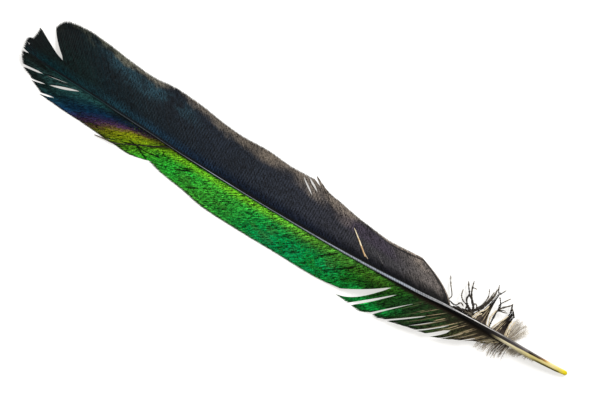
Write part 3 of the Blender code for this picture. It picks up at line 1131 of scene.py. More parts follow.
# Each broken barb: thickness at root and tip, paleness and fringe, then the points of its route.
STRANDS = tuple(Strand(tuple(route), *measures) for measures, *route in (
    ((0.26, 0.26, 0.0, 0.02), (158.6, 2.9, 4.7), (160.5, 3.6, 4.5), (165.0, 6.0, 3.5), (169.8, 8.3, 2.0),
     (174.0, 10.3, 0.8), (177.2, 11.7, 0.5), (180.0, 11.9, 0.4), (184.1, 12.4, 0.25)),
    ((0.34, 0.2, 0.12, 0.1), (47.3, 0.7, 3.6), (48.8, -1.1, 2.2), (48.4, -2.7, 1.2), (50.6, -5.8, 0.9),
     (52.4, -8.8, 0.5)),
    ((0.42, 0.3, 0.0, 0.2), (49.4, 0.3, 3.8), (48.2, -0.8, 3.4), (46.9, -0.5, 3.2), (45.6, -0.7, 2.8),
     (44.9, -1.9, 2.4), (44.3, -2.2, 2.3), (43.1, -1.5, 2.6)),
    ((0.42, 0.2, 0.08, 0.2), (42.2, -0.2, 3.2), (42.3, -2.4, 2.6), (44.4, -3.3, 1.9), (45.6, -4.6, 1.5),
     (46.2, -6.9, 0.8)),
    ((0.72, 0.34, 0.0, 0.35), (39.2, -0.4, 3.2), (40.9, -1.9, 2.9), (42.5, -3.0, 2.4), (43.5, -4.5, 1.9),
     (43.5, -6.3, 1.6), (44.9, -8.3, 1.3), (46.0, -10.2, 0.8)),
    ((0.8, 0.26, 0.0, 0.45), (39.2, -0.4, 3.3), (40.2, -3.2, 2.8), (41.4, -4.7, 2.4), (42.6, -6.2, 2.0),
     (43.5, -8.2, 1.6), (44.3, -11.2, 0.7)),
    ((0.5, 0.5, 0.0, 0.2), (43.5, -6.0, 1.8), (42.0, -5.2, 2.1), (41.0, -3.8, 2.5)),
    ((0.3, 0.2, 0.2, 0.4), (43.9, -8.6, 1.5), (43.0, -9.0, 1.4), (42.2, -9.0, 1.3)),
    ((0.5, 0.4, 0.0, 0.35), (47.3, 0.7, 3.4), (45.4, 0.5, 3.2), (43.7, -0.3, 3.1), (41.7, -1.0, 3.0),
     (40.4, -1.5, 2.9), (39.5, -2.9, 2.7)),
    ((0.8, 0.7, 0.0, 0.4), (45.6, 0.9, 3.6), (43.5, -0.1, 3.4), (41.4, -0.3, 3.5), (39.4, -0.8, 3.5)),
    ((0.7, 0.6, 0.0, 0.4), (42.3, -2.4, 2.7), (41.0, -1.8, 3.0), (40.0, -1.5, 3.1), (39.2, -0.4, 3.3)),
    ((0.9, 0.7, 0.0, 0.5), (41.4, -0.3, 3.4), (40.9, -1.3, 3.2), (39.7, -1.1, 3.2)),
    ((0.5, 0.7, 0.0, 0.3), (46.4, 0.3, 3.7), (44.0, -0.1, 3.6), (41.5, -0.2, 3.6), (38.6, -0.2, 3.5)),
    ((0.42, 0.3, 0.1, 0.3), (40.3, -3.4, 2.5), (40.4, -4.2, 2.3), (39.7, -4.4, 2.2), (39.2, -3.9, 2.2)),
    ((0.36, 0.3, 0.0, 0.3), (45.2, 0.5, 3.3), (45.1, -0.4, 3.2), (44.4, -0.6, 3.1), (43.6, -0.2, 3.2)),
    ((0.4, 0.2, 0.1, 0.2), (39.3, -3.4, 2.7), (38.3, -4.3, 2.6), (37.6, -6.0, 2.0), (37.3, -8.8, 1.4),
     (38.3, -11.6, 0.6)),
    ((0.62, 0.3, 0.0, 0.3), (39.5, -0.6, 3.3), (39.2, -2.0, 3.2), (37.8, -4.2, 2.8), (36.6, -7.2, 2.2),
     (35.9, -9.8, 1.6), (35.7, -13.0, 0.8)),
    ((0.34, 0.2, 0.1, 0.25), (39.9, -1.6, 3.1), (38.9, -3.4, 2.9), (37.5, -5.6, 2.4), (36.6, -8.6, 1.7),
     (36.3, -11.4, 0.9)),
    ((0.5, 0.3, 0.0, 0.2), (38.9, -0.6, 3.6), (38.1, -2.4, 3.4), (36.8, -5.4, 2.9), (35.7, -8.8, 2.1),
     (35.5, -11.6, 1.2)),
    ((0.4, 0.2, 0.95, 0.05), (38.7, 0.2, 3.7), (38.5, -1.0, 3.7), (37.6, -2.6, 3.5), (36.2, -4.2, 3.2),
     (35.5, -6.4, 2.8)),
    ((0.34, 0.2, 0.9, 0.05), (37.7, 0.1, 3.7), (37.4, -1.5, 3.6), (36.4, -2.7, 3.4)),
    ((0.42, 0.26, 0.95, 0.05), (32.3, 0.4, 3.2), (32.6, -0.9, 3.2), (33.2, -2.9, 3.0), (32.8, -5.2, 2.4),
     (32.4, -6.4, 2.2)),
    ((0.58, 0.36, 0.05, 0.3), (32.1, 0.4, 3.1), (32.2, -1.6, 3.0), (32.3, -3.8, 2.7), (32.2, -6.6, 2.3),
     (31.2, -8.0, 2.0), (30.0, -9.2, 1.7), (29.0, -10.2, 1.3), (28.5, -11.3, 1.0)),
    ((0.36, 0.22, 0.1, 0.2), (32.2, -6.1, 2.4), (31.4, -6.6, 2.2), (30.2, -6.8, 1.9), (28.8, -7.3, 1.5)),
    ((0.3, 0.2, 0.1, 0.2), (32.0, -6.6, 2.3), (30.6, -7.3, 1.9), (29.5, -7.6, 1.6)),
    ((0.28, 0.2, 0.12, 0.1), (32.1, -6.8, 2.2), (32.6, -8.4, 1.9), (31.6, -10.2, 1.4), (30.1, -12.3, 0.7)),
    ((0.34, 0.3, 0.0, 0.2), (32.3, -6.6, 2.3), (32.1, -8.0, 2.2), (32.9, -9.5, 2.0), (33.9, -10.8, 1.9)),
    ((0.6, 0.3, 0.0, 0.3), (27.9, -8.0, 1.9), (28.2, -9.2, 1.6), (28.7, -10.8, 1.1)),
    ((0.5, 0.3, 0.0, 0.3), (26.0, -7.0, 2.2), (27.0, -8.4, 1.9), (28.2, -9.6, 1.5)),
    ((0.4, 0.26, 0.9, 0.05), (25.4, 0.4, 2.7), (25.7, -1.8, 2.7), (26.2, -3.9, 2.5), (25.9, -5.8, 2.2)),
    ((0.34, 0.2, 0.9, 0.1), (24.6, 0.3, 2.6), (25.1, -2.2, 2.5), (25.3, -4.2, 2.2), (24.7, -6.2, 1.7)),
    ((0.36, 0.26, 0.85, 0.05), (31.1, 0.3, 3.1), (30.3, -2.0, 3.1), (29.0, -4.4, 2.8), (28.0, -6.6, 2.3)),
    ((0.3, 0.18, 0.1, 0.2), (35.0, -11.8, 1.4), (35.6, -13.2, 1.1), (36.1, -14.4, 0.7)),
    ((0.3, 0.18, 0.1, 0.2), (34.3, -11.6, 1.5), (33.6, -12.8, 1.1), (33.0, -13.9, 0.6)),
))


@dataclass
class BrokenBarbs:
    """The single barbs of the base tuft, each laid along its own route, with short stubs.

    Args:
        name: the piece's name.
        rings: sections along a barb.
        sides: points round a section.
        stubs: stubs on a barb.
        stub_width: a stub's thickness at its root.
        stub_angle: degrees between a stub and its barb.
        swelling: what is added to every radius.
        point: share of a barb's length over which it runs to a point.
        roughness: chance change of the radius from ring to ring, as a share.
        clearance: least distance between a barb and the table.
        seed: where its chance differences start.
    """

    name: str = "broken_barbs"
    rings: int = 40
    sides: int = 6
    stubs: int = 70
    stub_width: float = 0.07
    stub_angle: float = 34.0
    swelling: float = 0.065
    point: float = 0.06
    roughness: float = 0.22
    clearance: float = 0.05
    seed: int = 31

    def build(self, finish: bpy.types.Material) -> bpy.types.Object:
        """Makes the strands and their stubs as one piece.

        Args:
            finish: the piece's material.

        Returns:
            The new object.
        """
        chance = np.random.default_rng(self.seed)
        lines = np.stack([s.line(self.rings) for s in STRANDS])
        share = np.linspace(0, 1, self.rings)
        measures = np.array([(s.thick, s.thin, s.pale, s.fringe) for s in STRANDS])
        thick, thin, pale, fringe = measures.T
        radius = (thick[:, None] + (thin - thick)[:, None] * share) / 2 + self.swelling
        radius = radius * np.sqrt(np.clip((1 - share) / self.point, 0.02, 1))
        radius = radius * np.clip(1 + self.roughness * chance.normal(0, 1, radius.shape), 0.5, 1.6)
        lines[..., 2] = np.maximum(lines[..., 2], radius + self.clearance)
        marks = {"pale": pale[:, None, None], "share": share[None, :, None]}
        body = Bundle.along(lines, round_section(radius, self.sides), marks)
        stubs = side_threads(lines, self.stubs, fringe, self.stub_width, self.stub_angle, chance)
        stubs.marks = {"pale": np.repeat(pale, self.stubs)[:, None, None], "share": np.full((1, 1, 1), 0.6)}
        return Piece(self.name, Slot.DOWN, [body, stubs]).build(finish)


def round_section(radius: Numbers, sides: int) -> Numbers:
    """A round section for each radius, counter-clockwise."""
    angle = 2 * np.pi * np.arange(sides) / sides
    return np.stack([radius[..., None] * np.cos(angle), radius[..., None] * np.sin(angle)], -1)


def side_threads(
    lines: Numbers, each: int, lengths: Numbers, width: float, angle: float, chance: np.random.Generator
) -> Bundle:
    """Fine threads that stand off both sides of lines.

    Args:
        lines: middle lines, in an array of lines by rings by 3.
        each: threads on a line.
        lengths: the threads' usual length on each line.
        width: a thread's thickness at its root.
        angle: degrees between a thread and its line.
        chance: source of small differences.

    Returns:
        The threads as closed three-sided tubes with no marks.
    """
    count, rings, _ = lines.shape
    place = chance.uniform(0.04, 0.98, (count, each)) * (rings - 1)
    index = np.minimum(place.astype(int), rings - 2)
    part = (place - index)[..., None]
    row = np.arange(count)[:, None]
    start = lines[row, index] * (1 - part) + lines[row, index + 1] * part
    ahead = lines[row, index + 1] - lines[row, index]
    ahead /= np.linalg.norm(ahead, axis=2, keepdims=True)
    left = np.cross((0.0, 0.0, 1.0), ahead)
    left /= np.maximum(np.linalg.norm(left, axis=2, keepdims=True), 1e-6)
    side = np.where(np.arange(each) % 2 == 0, 1.0, -1.0)[None, :, None]
    turn = np.radians(angle * chance.normal(1, 0.22, (count, each)))[..., None]
    up = chance.normal(0, 0.35, (count, each))[..., None] * np.array((0.0, 0.0, 1.0))
    heading = ahead * np.cos(turn) + left * side * np.sin(turn) + up
    length = (lengths[:, None] * chance.uniform(0.5, 1.15, (count, each)))[..., None, None]
    taper = np.array((1.0, 0.8, 0.55, 0.15))
    t = np.linspace(0, 1, len(taper))[None, None, :, None]
    curl = ahead[:, :, None] * t ** 2 * 0.35 * length
    threads = start[:, :, None] + heading[:, :, None] * t * length * 0.85 + curl
    threads = threads.reshape(count * each, len(taper), 3)
    threads[..., 2] = np.maximum(threads[..., 2], 0.04)
    radius = np.broadcast_to(width / 2 * taper, threads.shape[:2])
    return Bundle.along(threads, round_section(radius, 3), {})


@dataclass
class Down:
    """Downy barbs at the vane's foot: soft threads with many fine barbules.

    Args:
        name: the piece's name.
        side: the side of the shaft that it grows on.
        span: first and last root.
        length: length of the barbs over their roots.
        leave: angle at which they leave the shaft, over their roots.
        sweep: degrees by which they bend towards the feather's tip.
        threads: number of downy barbs.
        seed: where its chance differences start.
        barbule_length: length of the fine threads along them.
        tone: how light they are, from 0 to 1.
        thickness: of the barbs at their roots.
        rings: sections along a downy barb.
        barbules: fine threads on a downy barb.
        barbule_width: a fine thread's thickness at its root.
        barbule_angle: degrees between a fine thread and its barb.
        wave: how far a downy barb swings from side to side.
    """

    name: str
    side: Side
    span: tuple[float, float]
    length: SmoothCurve
    leave: SmoothCurve
    sweep: float
    threads: int
    seed: int
    barbule_length: float = 1.0
    tone: float = 0.5
    thickness: float = 0.15
    rings: int = 14
    barbules: int = 70
    barbule_width: float = 0.034
    barbule_angle: float = 42.0
    wave: float = 0.22

    def build(self, finish: bpy.types.Material) -> bpy.types.Object:
        """Makes the downy barbs and their barbules as one piece.

        Args:
            finish: the piece's material.

        Returns:
            The new object.
        """
        chance = np.random.default_rng(self.seed)
        lines = self.lines(chance)
        share = np.linspace(0, 1, self.rings)
        radius = np.broadcast_to(self.thickness / 2 * (1.1 - share), (self.threads, self.rings))
        tone = np.clip(self.tone + chance.uniform(-0.5, 0.5, self.threads), 0, 1)
        marks = {"pale": tone[:, None, None], "share": share[None, :, None]}
        body = Bundle.along(lines, round_section(radius, 4), marks)
        lengths = self.barbule_length * chance.uniform(0.7, 1.2, self.threads)
        fine = side_threads(lines, self.barbules, lengths, self.barbule_width, self.barbule_angle, chance)
        pale = np.repeat(tone, self.barbules)[:, None, None]
        fine.marks = {"pale": pale, "share": np.full((1, 1, 1), 1.6)}
        return Piece(self.name, Slot.DOWN, [body, fine]).build(finish)

    def lines(self, chance: np.random.Generator) -> Numbers:
        """Lays the downy barbs' middle lines.

        Args:
            chance: source of small differences.

        Returns:
            Their points, in an array of threads by rings by 3.
        """
        roots = np.sort(chance.uniform(*self.span, self.threads))
        length = self.length.at(roots) * chance.uniform(0.72, 1.12, self.threads)
        leave = self.leave.at(roots) + chance.normal(0, 7, self.threads)
        bend = -self.sweep * chance.uniform(0.6, 1.3, self.threads)
        t = np.linspace(0, 1, self.rings)
        angle = np.radians(leave[:, None] + bend[:, None] * t)
        step = length[:, None] / (self.rings - 1)
        x = roots[:, None] + np.cumsum(np.cos(angle) * step, 1) - np.cos(angle) * step
        across = SHAFT_LINE.across.at(roots)[:, None]
        y = across + self.side.value * (np.cumsum(np.sin(angle) * step, 1) - np.sin(angle) * step)
        top = SHAFT_LINE.height.at(roots)[:, None]
        drop = chance.uniform(0.3, 1.6, self.threads)[:, None]
        z = top * (1 - t) ** 1.6 + drop * t + 0.25 * np.sin(t * np.pi * 2 + roots[:, None])
        phase = chance.uniform(0, 2 * np.pi, self.threads)[:, None]
        y = y + self.wave * np.sin(t * np.pi * 2.6 + phase) * t
        return np.stack([x, y, np.maximum(z, 0.12)], 2)


TUFTS = (
    Down(
        "quill_fuzz", Side.OUTER, (11.0, 19.5), curve((11, 1.8), (15, 3.2), (19, 4.0)),
        curve((11, 32), (19, 46)), sweep=-16.0, threads=44, seed=41, barbule_length=0.9, tone=0.2,
    ),
    Down(
        "white_fluff", Side.OUTER, (17.5, 27.0), curve((17, 2.6), (22, 4.4), (27, 5.0)),
        curve((17, 44), (27, 54)), sweep=-20.0, threads=40, seed=44, barbule_length=1.3, tone=1.0,
    ),
    Down(
        "outer_down", Side.OUTER, (22.0, 30.5), curve((20, 5.2), (24, 7.4), (30, 8.0)),
        curve((20, 70), (24, 62), (30, 52)), sweep=-34.0, threads=46, seed=43, barbule_length=0.8,
        tone=0.3, thickness=0.34,
    ),
    Down(
        "inner_down", Side.INNER, (22.6, 25.4), curve((22, 6.6), (24, 8.4), (26, 9.6)),
        curve((22, 128), (24, 108), (26, 88)), sweep=-8.0, threads=40, seed=42, barbule_length=1.2,
        tone=0.35,
    ),
)


@dataclass(frozen=True)
class Strip:
    """A thin strip that lies on the inner vane along its barbs' course.

    Args:
        root: where on the shaft the barb grows that it follows.
        start: share of that barb's length at which it begins.
        end: share at which it ends.
        half_width: half its width.
        faded: how grey it is, from 0 to 1.
    """

    root: float
    start: float
    end: float
    half_width: float
    faded: float


@dataclass
class Straw:
    """A pale, bare barb on the dark vane, and the fainter scratches beside it.

    Args:
        name: the piece's name.
        strips: the barb and the scratches.
        rise: how high they lie over the middle of the vane's sheet.
        lean: how far their beginnings are moved towards the quill.
        rings: sections along a strip.
        sides: points round a section.
    """

    name: str = "bare_barb"
    strips: tuple[Strip, ...] = (
        Strip(80.1, 0.13, 0.62, 0.25, 0.0), Strip(72.8, 0.20, 0.46, 0.05, 1.0),
        Strip(79.2, 0.12, 0.22, 0.16, 0.6),
    )
    rise: float = 0.2
    lean: float = 0.9
    rings: int = 40
    sides: int = 8

    def build(self, finish: bpy.types.Material) -> bpy.types.Object:
        """Makes the strips as one piece."""
        return Piece(self.name, Slot.SHAFT, [self.lay(strip) for strip in self.strips]).build(finish)

    def lay(self, strip: Strip) -> Bundle:
        """Lays one tapering strip over the inner vane.

        Args:
            strip: its measures.

        Returns:
            The strip as a closed tube.
        """
        share = np.linspace(strip.start, strip.end, self.rings)
        plan = INNER_VANE.courses(INNER_VANE.locks[0], np.array([strip.root]), share)
        t = np.linspace(0, 1, self.rings)
        plan[..., 0] -= self.lean * (1 - t)
        height = INNER_VANE.height(plan, share, 0.0) + self.rise
        width = strip.half_width * np.sqrt(np.clip(np.minimum(t / 0.05, (1 - t) / 0.55), 0.01, 1))
        flat = round_section(width, self.sides)[None] * np.array((1.0, 0.5))
        lines = np.concatenate([plan, height[..., None]], 2)
        marks = {"share": t[None, :, None], "faded": np.full((1, 1, 1), strip.faded)}
        return Bundle.along(lines, flat, marks)


class Signal:
    """A socket of a material's nodes that can be used in sums."""

    def __init__(self, bench: Bench, socket: bpy.types.NodeSocket) -> None:
        """Keeps the socket and the bench that its nodes stand on."""
        self.bench = bench
        self.socket = socket

    def combine(self, operation: str, first: Any, second: Any) -> Signal:
        """Adds one Math node that works on two values."""
        return self.bench.node("ShaderNodeMath", {"operation": operation}, (first, second))

    def __add__(self, other: Any) -> Signal:
        """Sum."""
        return self.combine("ADD", self, other)

    __radd__ = __add__

    def __sub__(self, other: Any) -> Signal:
        """Difference."""
        return self.combine("SUBTRACT", self, other)

    def __rsub__(self, other: Any) -> Signal:
        """Difference from the other."""
        return self.combine("SUBTRACT", other, self)

    def __mul__(self, other: Any) -> Signal:
        """Product."""
        return self.combine("MULTIPLY", self, other)

    __rmul__ = __mul__

    def __truediv__(self, other: Any) -> Signal:
        """Quotient."""
        return self.combine("DIVIDE", self, other)

    def peak(self, other: Any) -> Signal:
        """The greater of two values."""
        return self.combine("MAXIMUM", self, other)

    def wave(self) -> Signal:
        """Its sine."""
        return self.combine("SINE", self, 0.0)

    def swing(self, reach: float) -> Signal:
        """Its distance from a half, times a reach."""
        return (self - 0.5) * reach

    def steps(self, low: float, high: float) -> Signal:
        """Makes a smooth slope between two values.

        Args:
            low: where it is 0.
            high: where it is 1; the smaller of the two for a slope that falls.

        Returns:
            The slope, even beyond both ends.
        """
        settings = {"interpolation_type": "SMOOTHSTEP"}
        if low <= high:
            return self.bench.node("ShaderNodeMapRange", settings, (self, low, high, 0.0, 1.0))
        return self.bench.node("ShaderNodeMapRange", settings, (self, high, low, 1.0, 0.0))

    def band(self, rise: tuple[float, float], fall: tuple[float, float]) -> Signal:
        """1 between two slopes and 0 beyond them."""
        return self.steps(*rise) * self.steps(fall[1], fall[0])


class Bench:
    """Makes one material, node by node."""

    def __init__(self, name: str) -> None:
        """Starts a material with its main shader.

        Args:
            name: the material's name.
        """
        self.material = bpy.data.materials.new(name)
        self.material.use_nodes = True
        self.tree = self.material.node_tree
        self.surface = self.tree.nodes["Principled BSDF"]

    def node(
        self, kind: str, settings: dict[str, Any], values: Iterable[Any] | dict[Any, Any],
        outlet: int | str = 0,
    ) -> Signal:
        """Adds a node.

        Args:
            kind: the node's type.
            settings: its own properties, which are set first; a ramp's stops are "stops".
            values: values or signals for its sockets, in order or by name. None leaves one alone.
            outlet: the output that is wanted.

        Returns:
            That output.
        """
        made = self.tree.nodes.new(kind)
        for name, value in settings.items():
            if name == "stops":
                self.set_stops(made.color_ramp, value)
            else:
                setattr(made, name, value)
        pairs = values.items() if isinstance(values, dict) else enumerate(values)
        for key, value in pairs:
            self.feed(made.inputs[key], value)
        return Signal(self, made.outputs[outlet])

    def feed(self, socket: bpy.types.NodeSocket, value: Any) -> None:
        """Links a signal to a socket, or sets its value.

        Args:
            socket: the socket.
            value: a signal, a number, a colour, or None to leave the socket alone.
        """
        if isinstance(value, Signal):
            self.tree.links.new(value.socket, socket)
        elif value is not None:
            wants_four = getattr(socket, "type", "") == "RGBA"
            socket.default_value = (*value, 1.0) if wants_four and len(value) == 3 else value

    @staticmethod
    def set_stops(ramp: bpy.types.ColorRamp, stops: Sequence[tuple[float, Colour]]) -> None:
        """Gives a ramp its stops: their places first, because a new place can change the order.

        Args:
            ramp: the ramp.
            stops: places from 0 to 1 and their colours.
        """
        while len(ramp.elements) < len(stops):
            ramp.elements.new(0.5)
        for element, (place, _) in zip(ramp.elements, stops):
            element.position = place
        for element, (_, colour) in zip(ramp.elements, stops):
            element.color = (*colour, 1.0)

    def mark(self, name: str) -> Signal:
        """Reads one of a piece's marks."""
        return self.node("ShaderNodeAttribute", {"attribute_name": name}, (), "Fac")

    def plan(self) -> tuple[Signal, Signal]:
        """Gives the millimetres along and across the frame, at the surface.

        Returns:
            Both as signals.
        """
        place = self.node("ShaderNodeTexCoord", {}, (), "Object")
        along, across = (self.node("ShaderNodeSeparateXYZ", {}, (place,), axis) for axis in "XY")
        return along / MM, across / MM

    def noise(self, x: Any, y: Any, z: float = 0.0, detail: float = 2.0) -> Signal:
        """Makes cloudy noise from 0 to 1.

        Args:
            x: place, in units of the noise's grain.
            y: the same, across.
            z: a number that sets one noise apart from another.
            detail: how many finer grains are laid over the first.

        Returns:
            The noise.
        """
        place = self.node("ShaderNodeCombineXYZ", {}, (x, y, z))
        values = {"Vector": place, "Scale": 1.0, "Detail": detail, "Roughness": 0.5}
        return self.node("ShaderNodeTexNoise", {}, values, "Fac")

    def ramp(self, place: Signal, colours: Stops) -> Signal:
        """Colours along the feather's length, at a place in millimetres."""
        settings = {"stops": [(at / FEATHER_LENGTH, colour) for at, colour in colours]}
        return self.node("ShaderNodeValToRGB", settings, (place / FEATHER_LENGTH,))

    def mix(self, share: Signal, first: Signal | Colour, second: Signal | Colour) -> Signal:
        """Blends two colours by a share of the second."""
        settings = {"data_type": "RGBA", "blend_type": "MIX", "clamp_factor": True}
        return self.node("ShaderNodeMix", settings, {0: share, 6: first, 7: second}, 2)

    def scale(self, colour: Signal, by: Signal) -> Signal:
        """A colour made lighter or darker."""
        return self.node("ShaderNodeVectorMath", {"operation": "SCALE"}, {0: colour, 3: by})

    def bump(self, height: Signal, distance: float, strength: float = 1.0) -> Signal:
        """A normal from a height from 0 to 1, over a distance in millimetres."""
        values = {"Strength": strength, "Distance": distance * MM, "Height": height}
        return self.node("ShaderNodeBump", {}, values, "Normal")

    def glow(self, colour: Colour, strength: float) -> None:
        """Makes the surface give some even light of its own."""
        self.feed(self.surface.inputs["Emission Color"], colour)
        self.feed(self.surface.inputs["Emission Strength"], strength)

    def finish(
        self, gloss: float, colour: Signal, roughness: Signal, normal: Signal | None = None,
        metal: Signal | None = None,
    ) -> bpy.types.Material:
        """Sets the shader's gloss and links what changes over the surface.

        Args:
            gloss: the shader's specular level.
            colour: its colour.
            roughness: its roughness.
            normal: its normal, where it has bumps.
            metal: how metallic it is, where it is.

        Returns:
            The material.
        """
        varied = {"Base Color": colour, "Metallic": metal, "Roughness": roughness, "Normal": normal}
        for name, value in ({"Specular IOR Level": gloss} | varied).items():
            self.feed(self.surface.inputs[name], value)
        return self.material


@dataclass(frozen=True)
class VaneMarks:
    """What a vane's finish reads from its piece, and the place in the plan."""

    root: Signal
    share: Signal
    out: Signal
    reach: Signal
    x: Signal
    y: Signal

    @classmethod
    def read(cls, b: Bench) -> VaneMarks:
        """Reads the marks on a bench."""
        return cls(*(b.mark(n) for n in ("root", "share", "out", "reach")), *b.plan())

    def left(self) -> Signal:
        """Millimetres that are left of a barb's length."""
        return self.reach / self.share.peak(0.05) - self.reach

    def grain(self, b: Bench) -> Signal:
        """The fine unevenness along the barbs."""
        return b.noise(self.root * 6.0, self.reach * 1.6, 4.0)


@dataclass(frozen=True)
class Weave:
    """The light and dark of barbs and barbules, as noises from 0 to 1 at several grains."""

    streak: Signal
    fine: Signal
    hatch: Signal
    crumbs: Signal

    @classmethod
    def make(cls, b: Bench, at: VaneMarks, side: Side) -> Weave:
        """Makes the noises: two follow the barbs and two follow the barbules across them.

        Args:
            b: the material's bench.
            at: the vane's marks.
            side: the vane's side of the shaft.

        Returns:
            The weave.
        """
        diagonal = 0.7071
        along = (at.x + at.y * side.value) * diagonal
        across = (at.x - at.y * side.value) * diagonal
        return cls(
            b.noise(at.root * 0.8, at.reach * 0.16, 1.0, detail=3.0),
            b.noise(at.root * 2.1, at.reach * 0.7, 7.0),
            b.noise(along * 0.6, across * 1.9, 3.0),
            b.noise(across * 2.9, along * 2.5, 5.0),
        )

    def value(self, streak: float, fine: float, hatch: float, crumbs: float) -> Signal:
        """Says how light the weave is.

        Args:
            streak: share of the wide streaks along the barbs.
            fine: share of the fine streaks.
            hatch: share of the barbules' lines.
            crumbs: share of the small crumbs.

        Returns:
            The lightness, 1 on average.
        """
        total = self.streak.swing(streak) + self.fine.swing(fine)
        total = total + self.hatch.swing(hatch) + self.crumbs.swing(crumbs)
        return total + 1.0


@dataclass(frozen=True)
class OuterVaneFinish:
    """Glossy green barbs with a gold, purple and blue-teal sequence near the tip."""

    along_vane: Stops = paints(
        (24, 140, 130, 106), (34, 58, 60, 36), (42, 28, 54, 24), (55, 24, 56, 24), (66, 26, 82, 20),
        (78, 24, 126, 36), (92, 2, 152, 68), (108, 6, 160, 70), (118, 46, 174, 62), (130, 72, 192, 58),
        (140, 50, 204, 64), (149, 62, 192, 50), (156, 116, 190, 38), (160.5, 150, 174, 22),
        (164.8, 154, 160, 22), (167, 122, 100, 52), (169.4, 84, 54, 84), (172.8, 42, 42, 80),
        (177, 12, 50, 78), (184, 18, 52, 62), (190, 36, 76, 74), (198, 38, 68, 66), (206, 24, 56, 54),
    )
    lime: Colour = paint(112, 176, 26)
    leaf: Colour = paint(8, 156, 62)
    teal: Colour = paint(0, 172, 96)
    moss: Colour = paint(66, 88, 22)
    rust: Colour = paint(84, 66, 30)
    near_black: Colour = paint(14, 13, 11)
    glint_green: Colour = paint(150, 200, 60)
    straw: Colour = paint(192, 172, 134)
    brown_and_shade: Colour = paint(34, 27, 20)
    roughness: float = 0.46
    gloss: float = 0.06
    metal: float = 0.35

    def material(self) -> bpy.types.Material:
        """Makes the material.

        Returns:
            The material.
        """
        b = Bench("outer_vane_barbs")
        at = VaneMarks.read(b)
        weave = Weave.make(b, at, Side.OUTER)
        shifted = at.root + 5.5 * at.share.steps(0.35, 0.0) + 2.2 * at.share.steps(0.5, 0.95)
        shifted = shifted + weave.streak.swing(9.0) + weave.hatch.swing(5.0)
        colour = b.ramp(shifted, self.along_vane)
        colour = self.patches(b, colour, at)
        calm = at.root.steps(166, 176)
        value = weave.value(2.8, 4.6, 2.6, 4.4) + b.mark("tint").swing(0.7) + b.mark("tone").swing(0.25)
        value = (value * (1.0 - 0.3 * calm) + 0.3 * calm).peak(0.08)
        colour = b.scale(colour, value)
        colour = self.flecks(b, colour, at, calm)
        colour = self.foot(b, colour, at, weave)
        torn = at.share.steps(0.78, 0.95) * at.root.band((36, 40), (64, 66))
        tips = at.share.steps(0.91, 0.99).peak(torn)
        # Painted shade along the slits and creases, with the barbs' own darker tips and dull underside.
        dark = (b.mark("shade") * 1.3).peak(tips * 0.8).peak(b.mark("under") * 0.7)
        colour = b.mix(dark * 0.95, colour, self.near_black)
        roughness = self.roughness + weave.streak.swing(0.3)
        metal = self.metal * at.root.steps(40, 60)
        return b.finish(self.gloss, colour, roughness, b.bump(at.grain(b), 0.05, 0.5), metal)

    def patches(self, b: Bench, colour: Signal, at: VaneMarks) -> Signal:
        """Lays the leafy and teal patches, the lime band beside the shaft and the shadows.

        Args:
            b: the material's bench.
            colour: the colour that they are laid over.
            at: the vane's marks.

        Returns:
            The new colour.
        """
        drift = b.noise(at.x * 0.12, at.y * 0.2, 9.0)
        leafy = at.root.band((46, 54), (74, 92)) * (at.share + drift.swing(0.5)).steps(0.5, 0.78)
        colour = b.mix(leafy * 0.85, colour, self.leaf)
        tealing = at.root.band((72, 82), (98, 112)) * at.share.steps(0.3, 0.7) * drift.steps(0.3, 0.56)
        colour = b.mix(tealing * 0.75, colour, self.teal)
        mossy = at.root.band((58, 72), (98, 114)) * at.share.steps(0.5, 0.2)
        colour = b.mix(mossy * 0.6, colour, self.moss)
        rusty = at.root.band((66, 80), (140, 150)) * at.share.band((0.2, 0.4), (0.7, 0.95))
        colour = b.mix(drift.steps(0.54, 0.66) * rusty * 0.3, colour, self.rust)
        liming = at.root.band((68, 130), (156, 164)) * at.out.band((0.3, 1.2), (1.6, 4.4))
        colour = b.mix(liming * 0.8, colour, self.lime)
        edge = at.share.steps(0.86, 0.97) * at.root.band((84, 110), (152, 166))
        colour = b.mix(edge * 0.3, colour, self.rust)
        colour = b.mix(edge * 0.4, colour, self.near_black)
        # Painted shadow on the barbs beside the shaft: wider at the foot, fading at the tip, and deeper
        # between roots 150 and 184.
        shadow = (at.out - 0.9 * at.root.steps(80, 60)).steps(1.3, 0.5)
        shadow = shadow * (0.92 - 0.75 * at.root.steps(178, 188))
        shadow_near_tip = at.root.band((150, 159), (178, 184)) * at.out.steps(4.0, 0.8) * 0.78
        tip_lock = at.root.steps(195, 202) * at.share.steps(0.12, 0.5)
        tip_edge = at.root.steps(180, 190) * at.share.steps(0.55, 0.8) * 0.8
        border = at.root.band((147, 155), (167, 173)) * at.share.steps(0.6, 0.9) * 0.74
        dark = shadow.peak(shadow_near_tip).peak(tip_lock.peak(tip_edge) * 0.9).peak(border)
        return b.mix(dark, colour, self.near_black)

    def flecks(self, b: Bench, colour: Signal, at: VaneMarks, calm: Signal) -> Signal:
        """Scatters small painted glints and small dark flecks of painted shade over the green.

        Args:
            b: the material's bench.
            colour: the colour that they are laid over.
            at: the vane's marks.
            calm: where there are fewer, from 0 to 1.

        Returns:
            The new colour.
        """
        along = at.x * 0.86 + at.y * 0.51
        across = at.y * 0.86 - at.x * 0.51
        lively = (1.0 - calm) * at.root.steps(60, 84)
        # Painted glints where single barbs catch the light.
        bright = b.noise(along * 1.3, across * 2.6, 11.0).steps(0.60, 0.72) * lively
        colour = b.mix(bright * 0.35, colour, self.glint_green)
        # Painted shade: dark flecks where single barbs turn away from the light.
        dark = b.noise(along * 0.9, across * 2.2, 5.0, detail=3.0).steps(0.58, 0.70)
        return b.mix(dark * (0.25 + 0.55 * lively), colour, self.near_black)

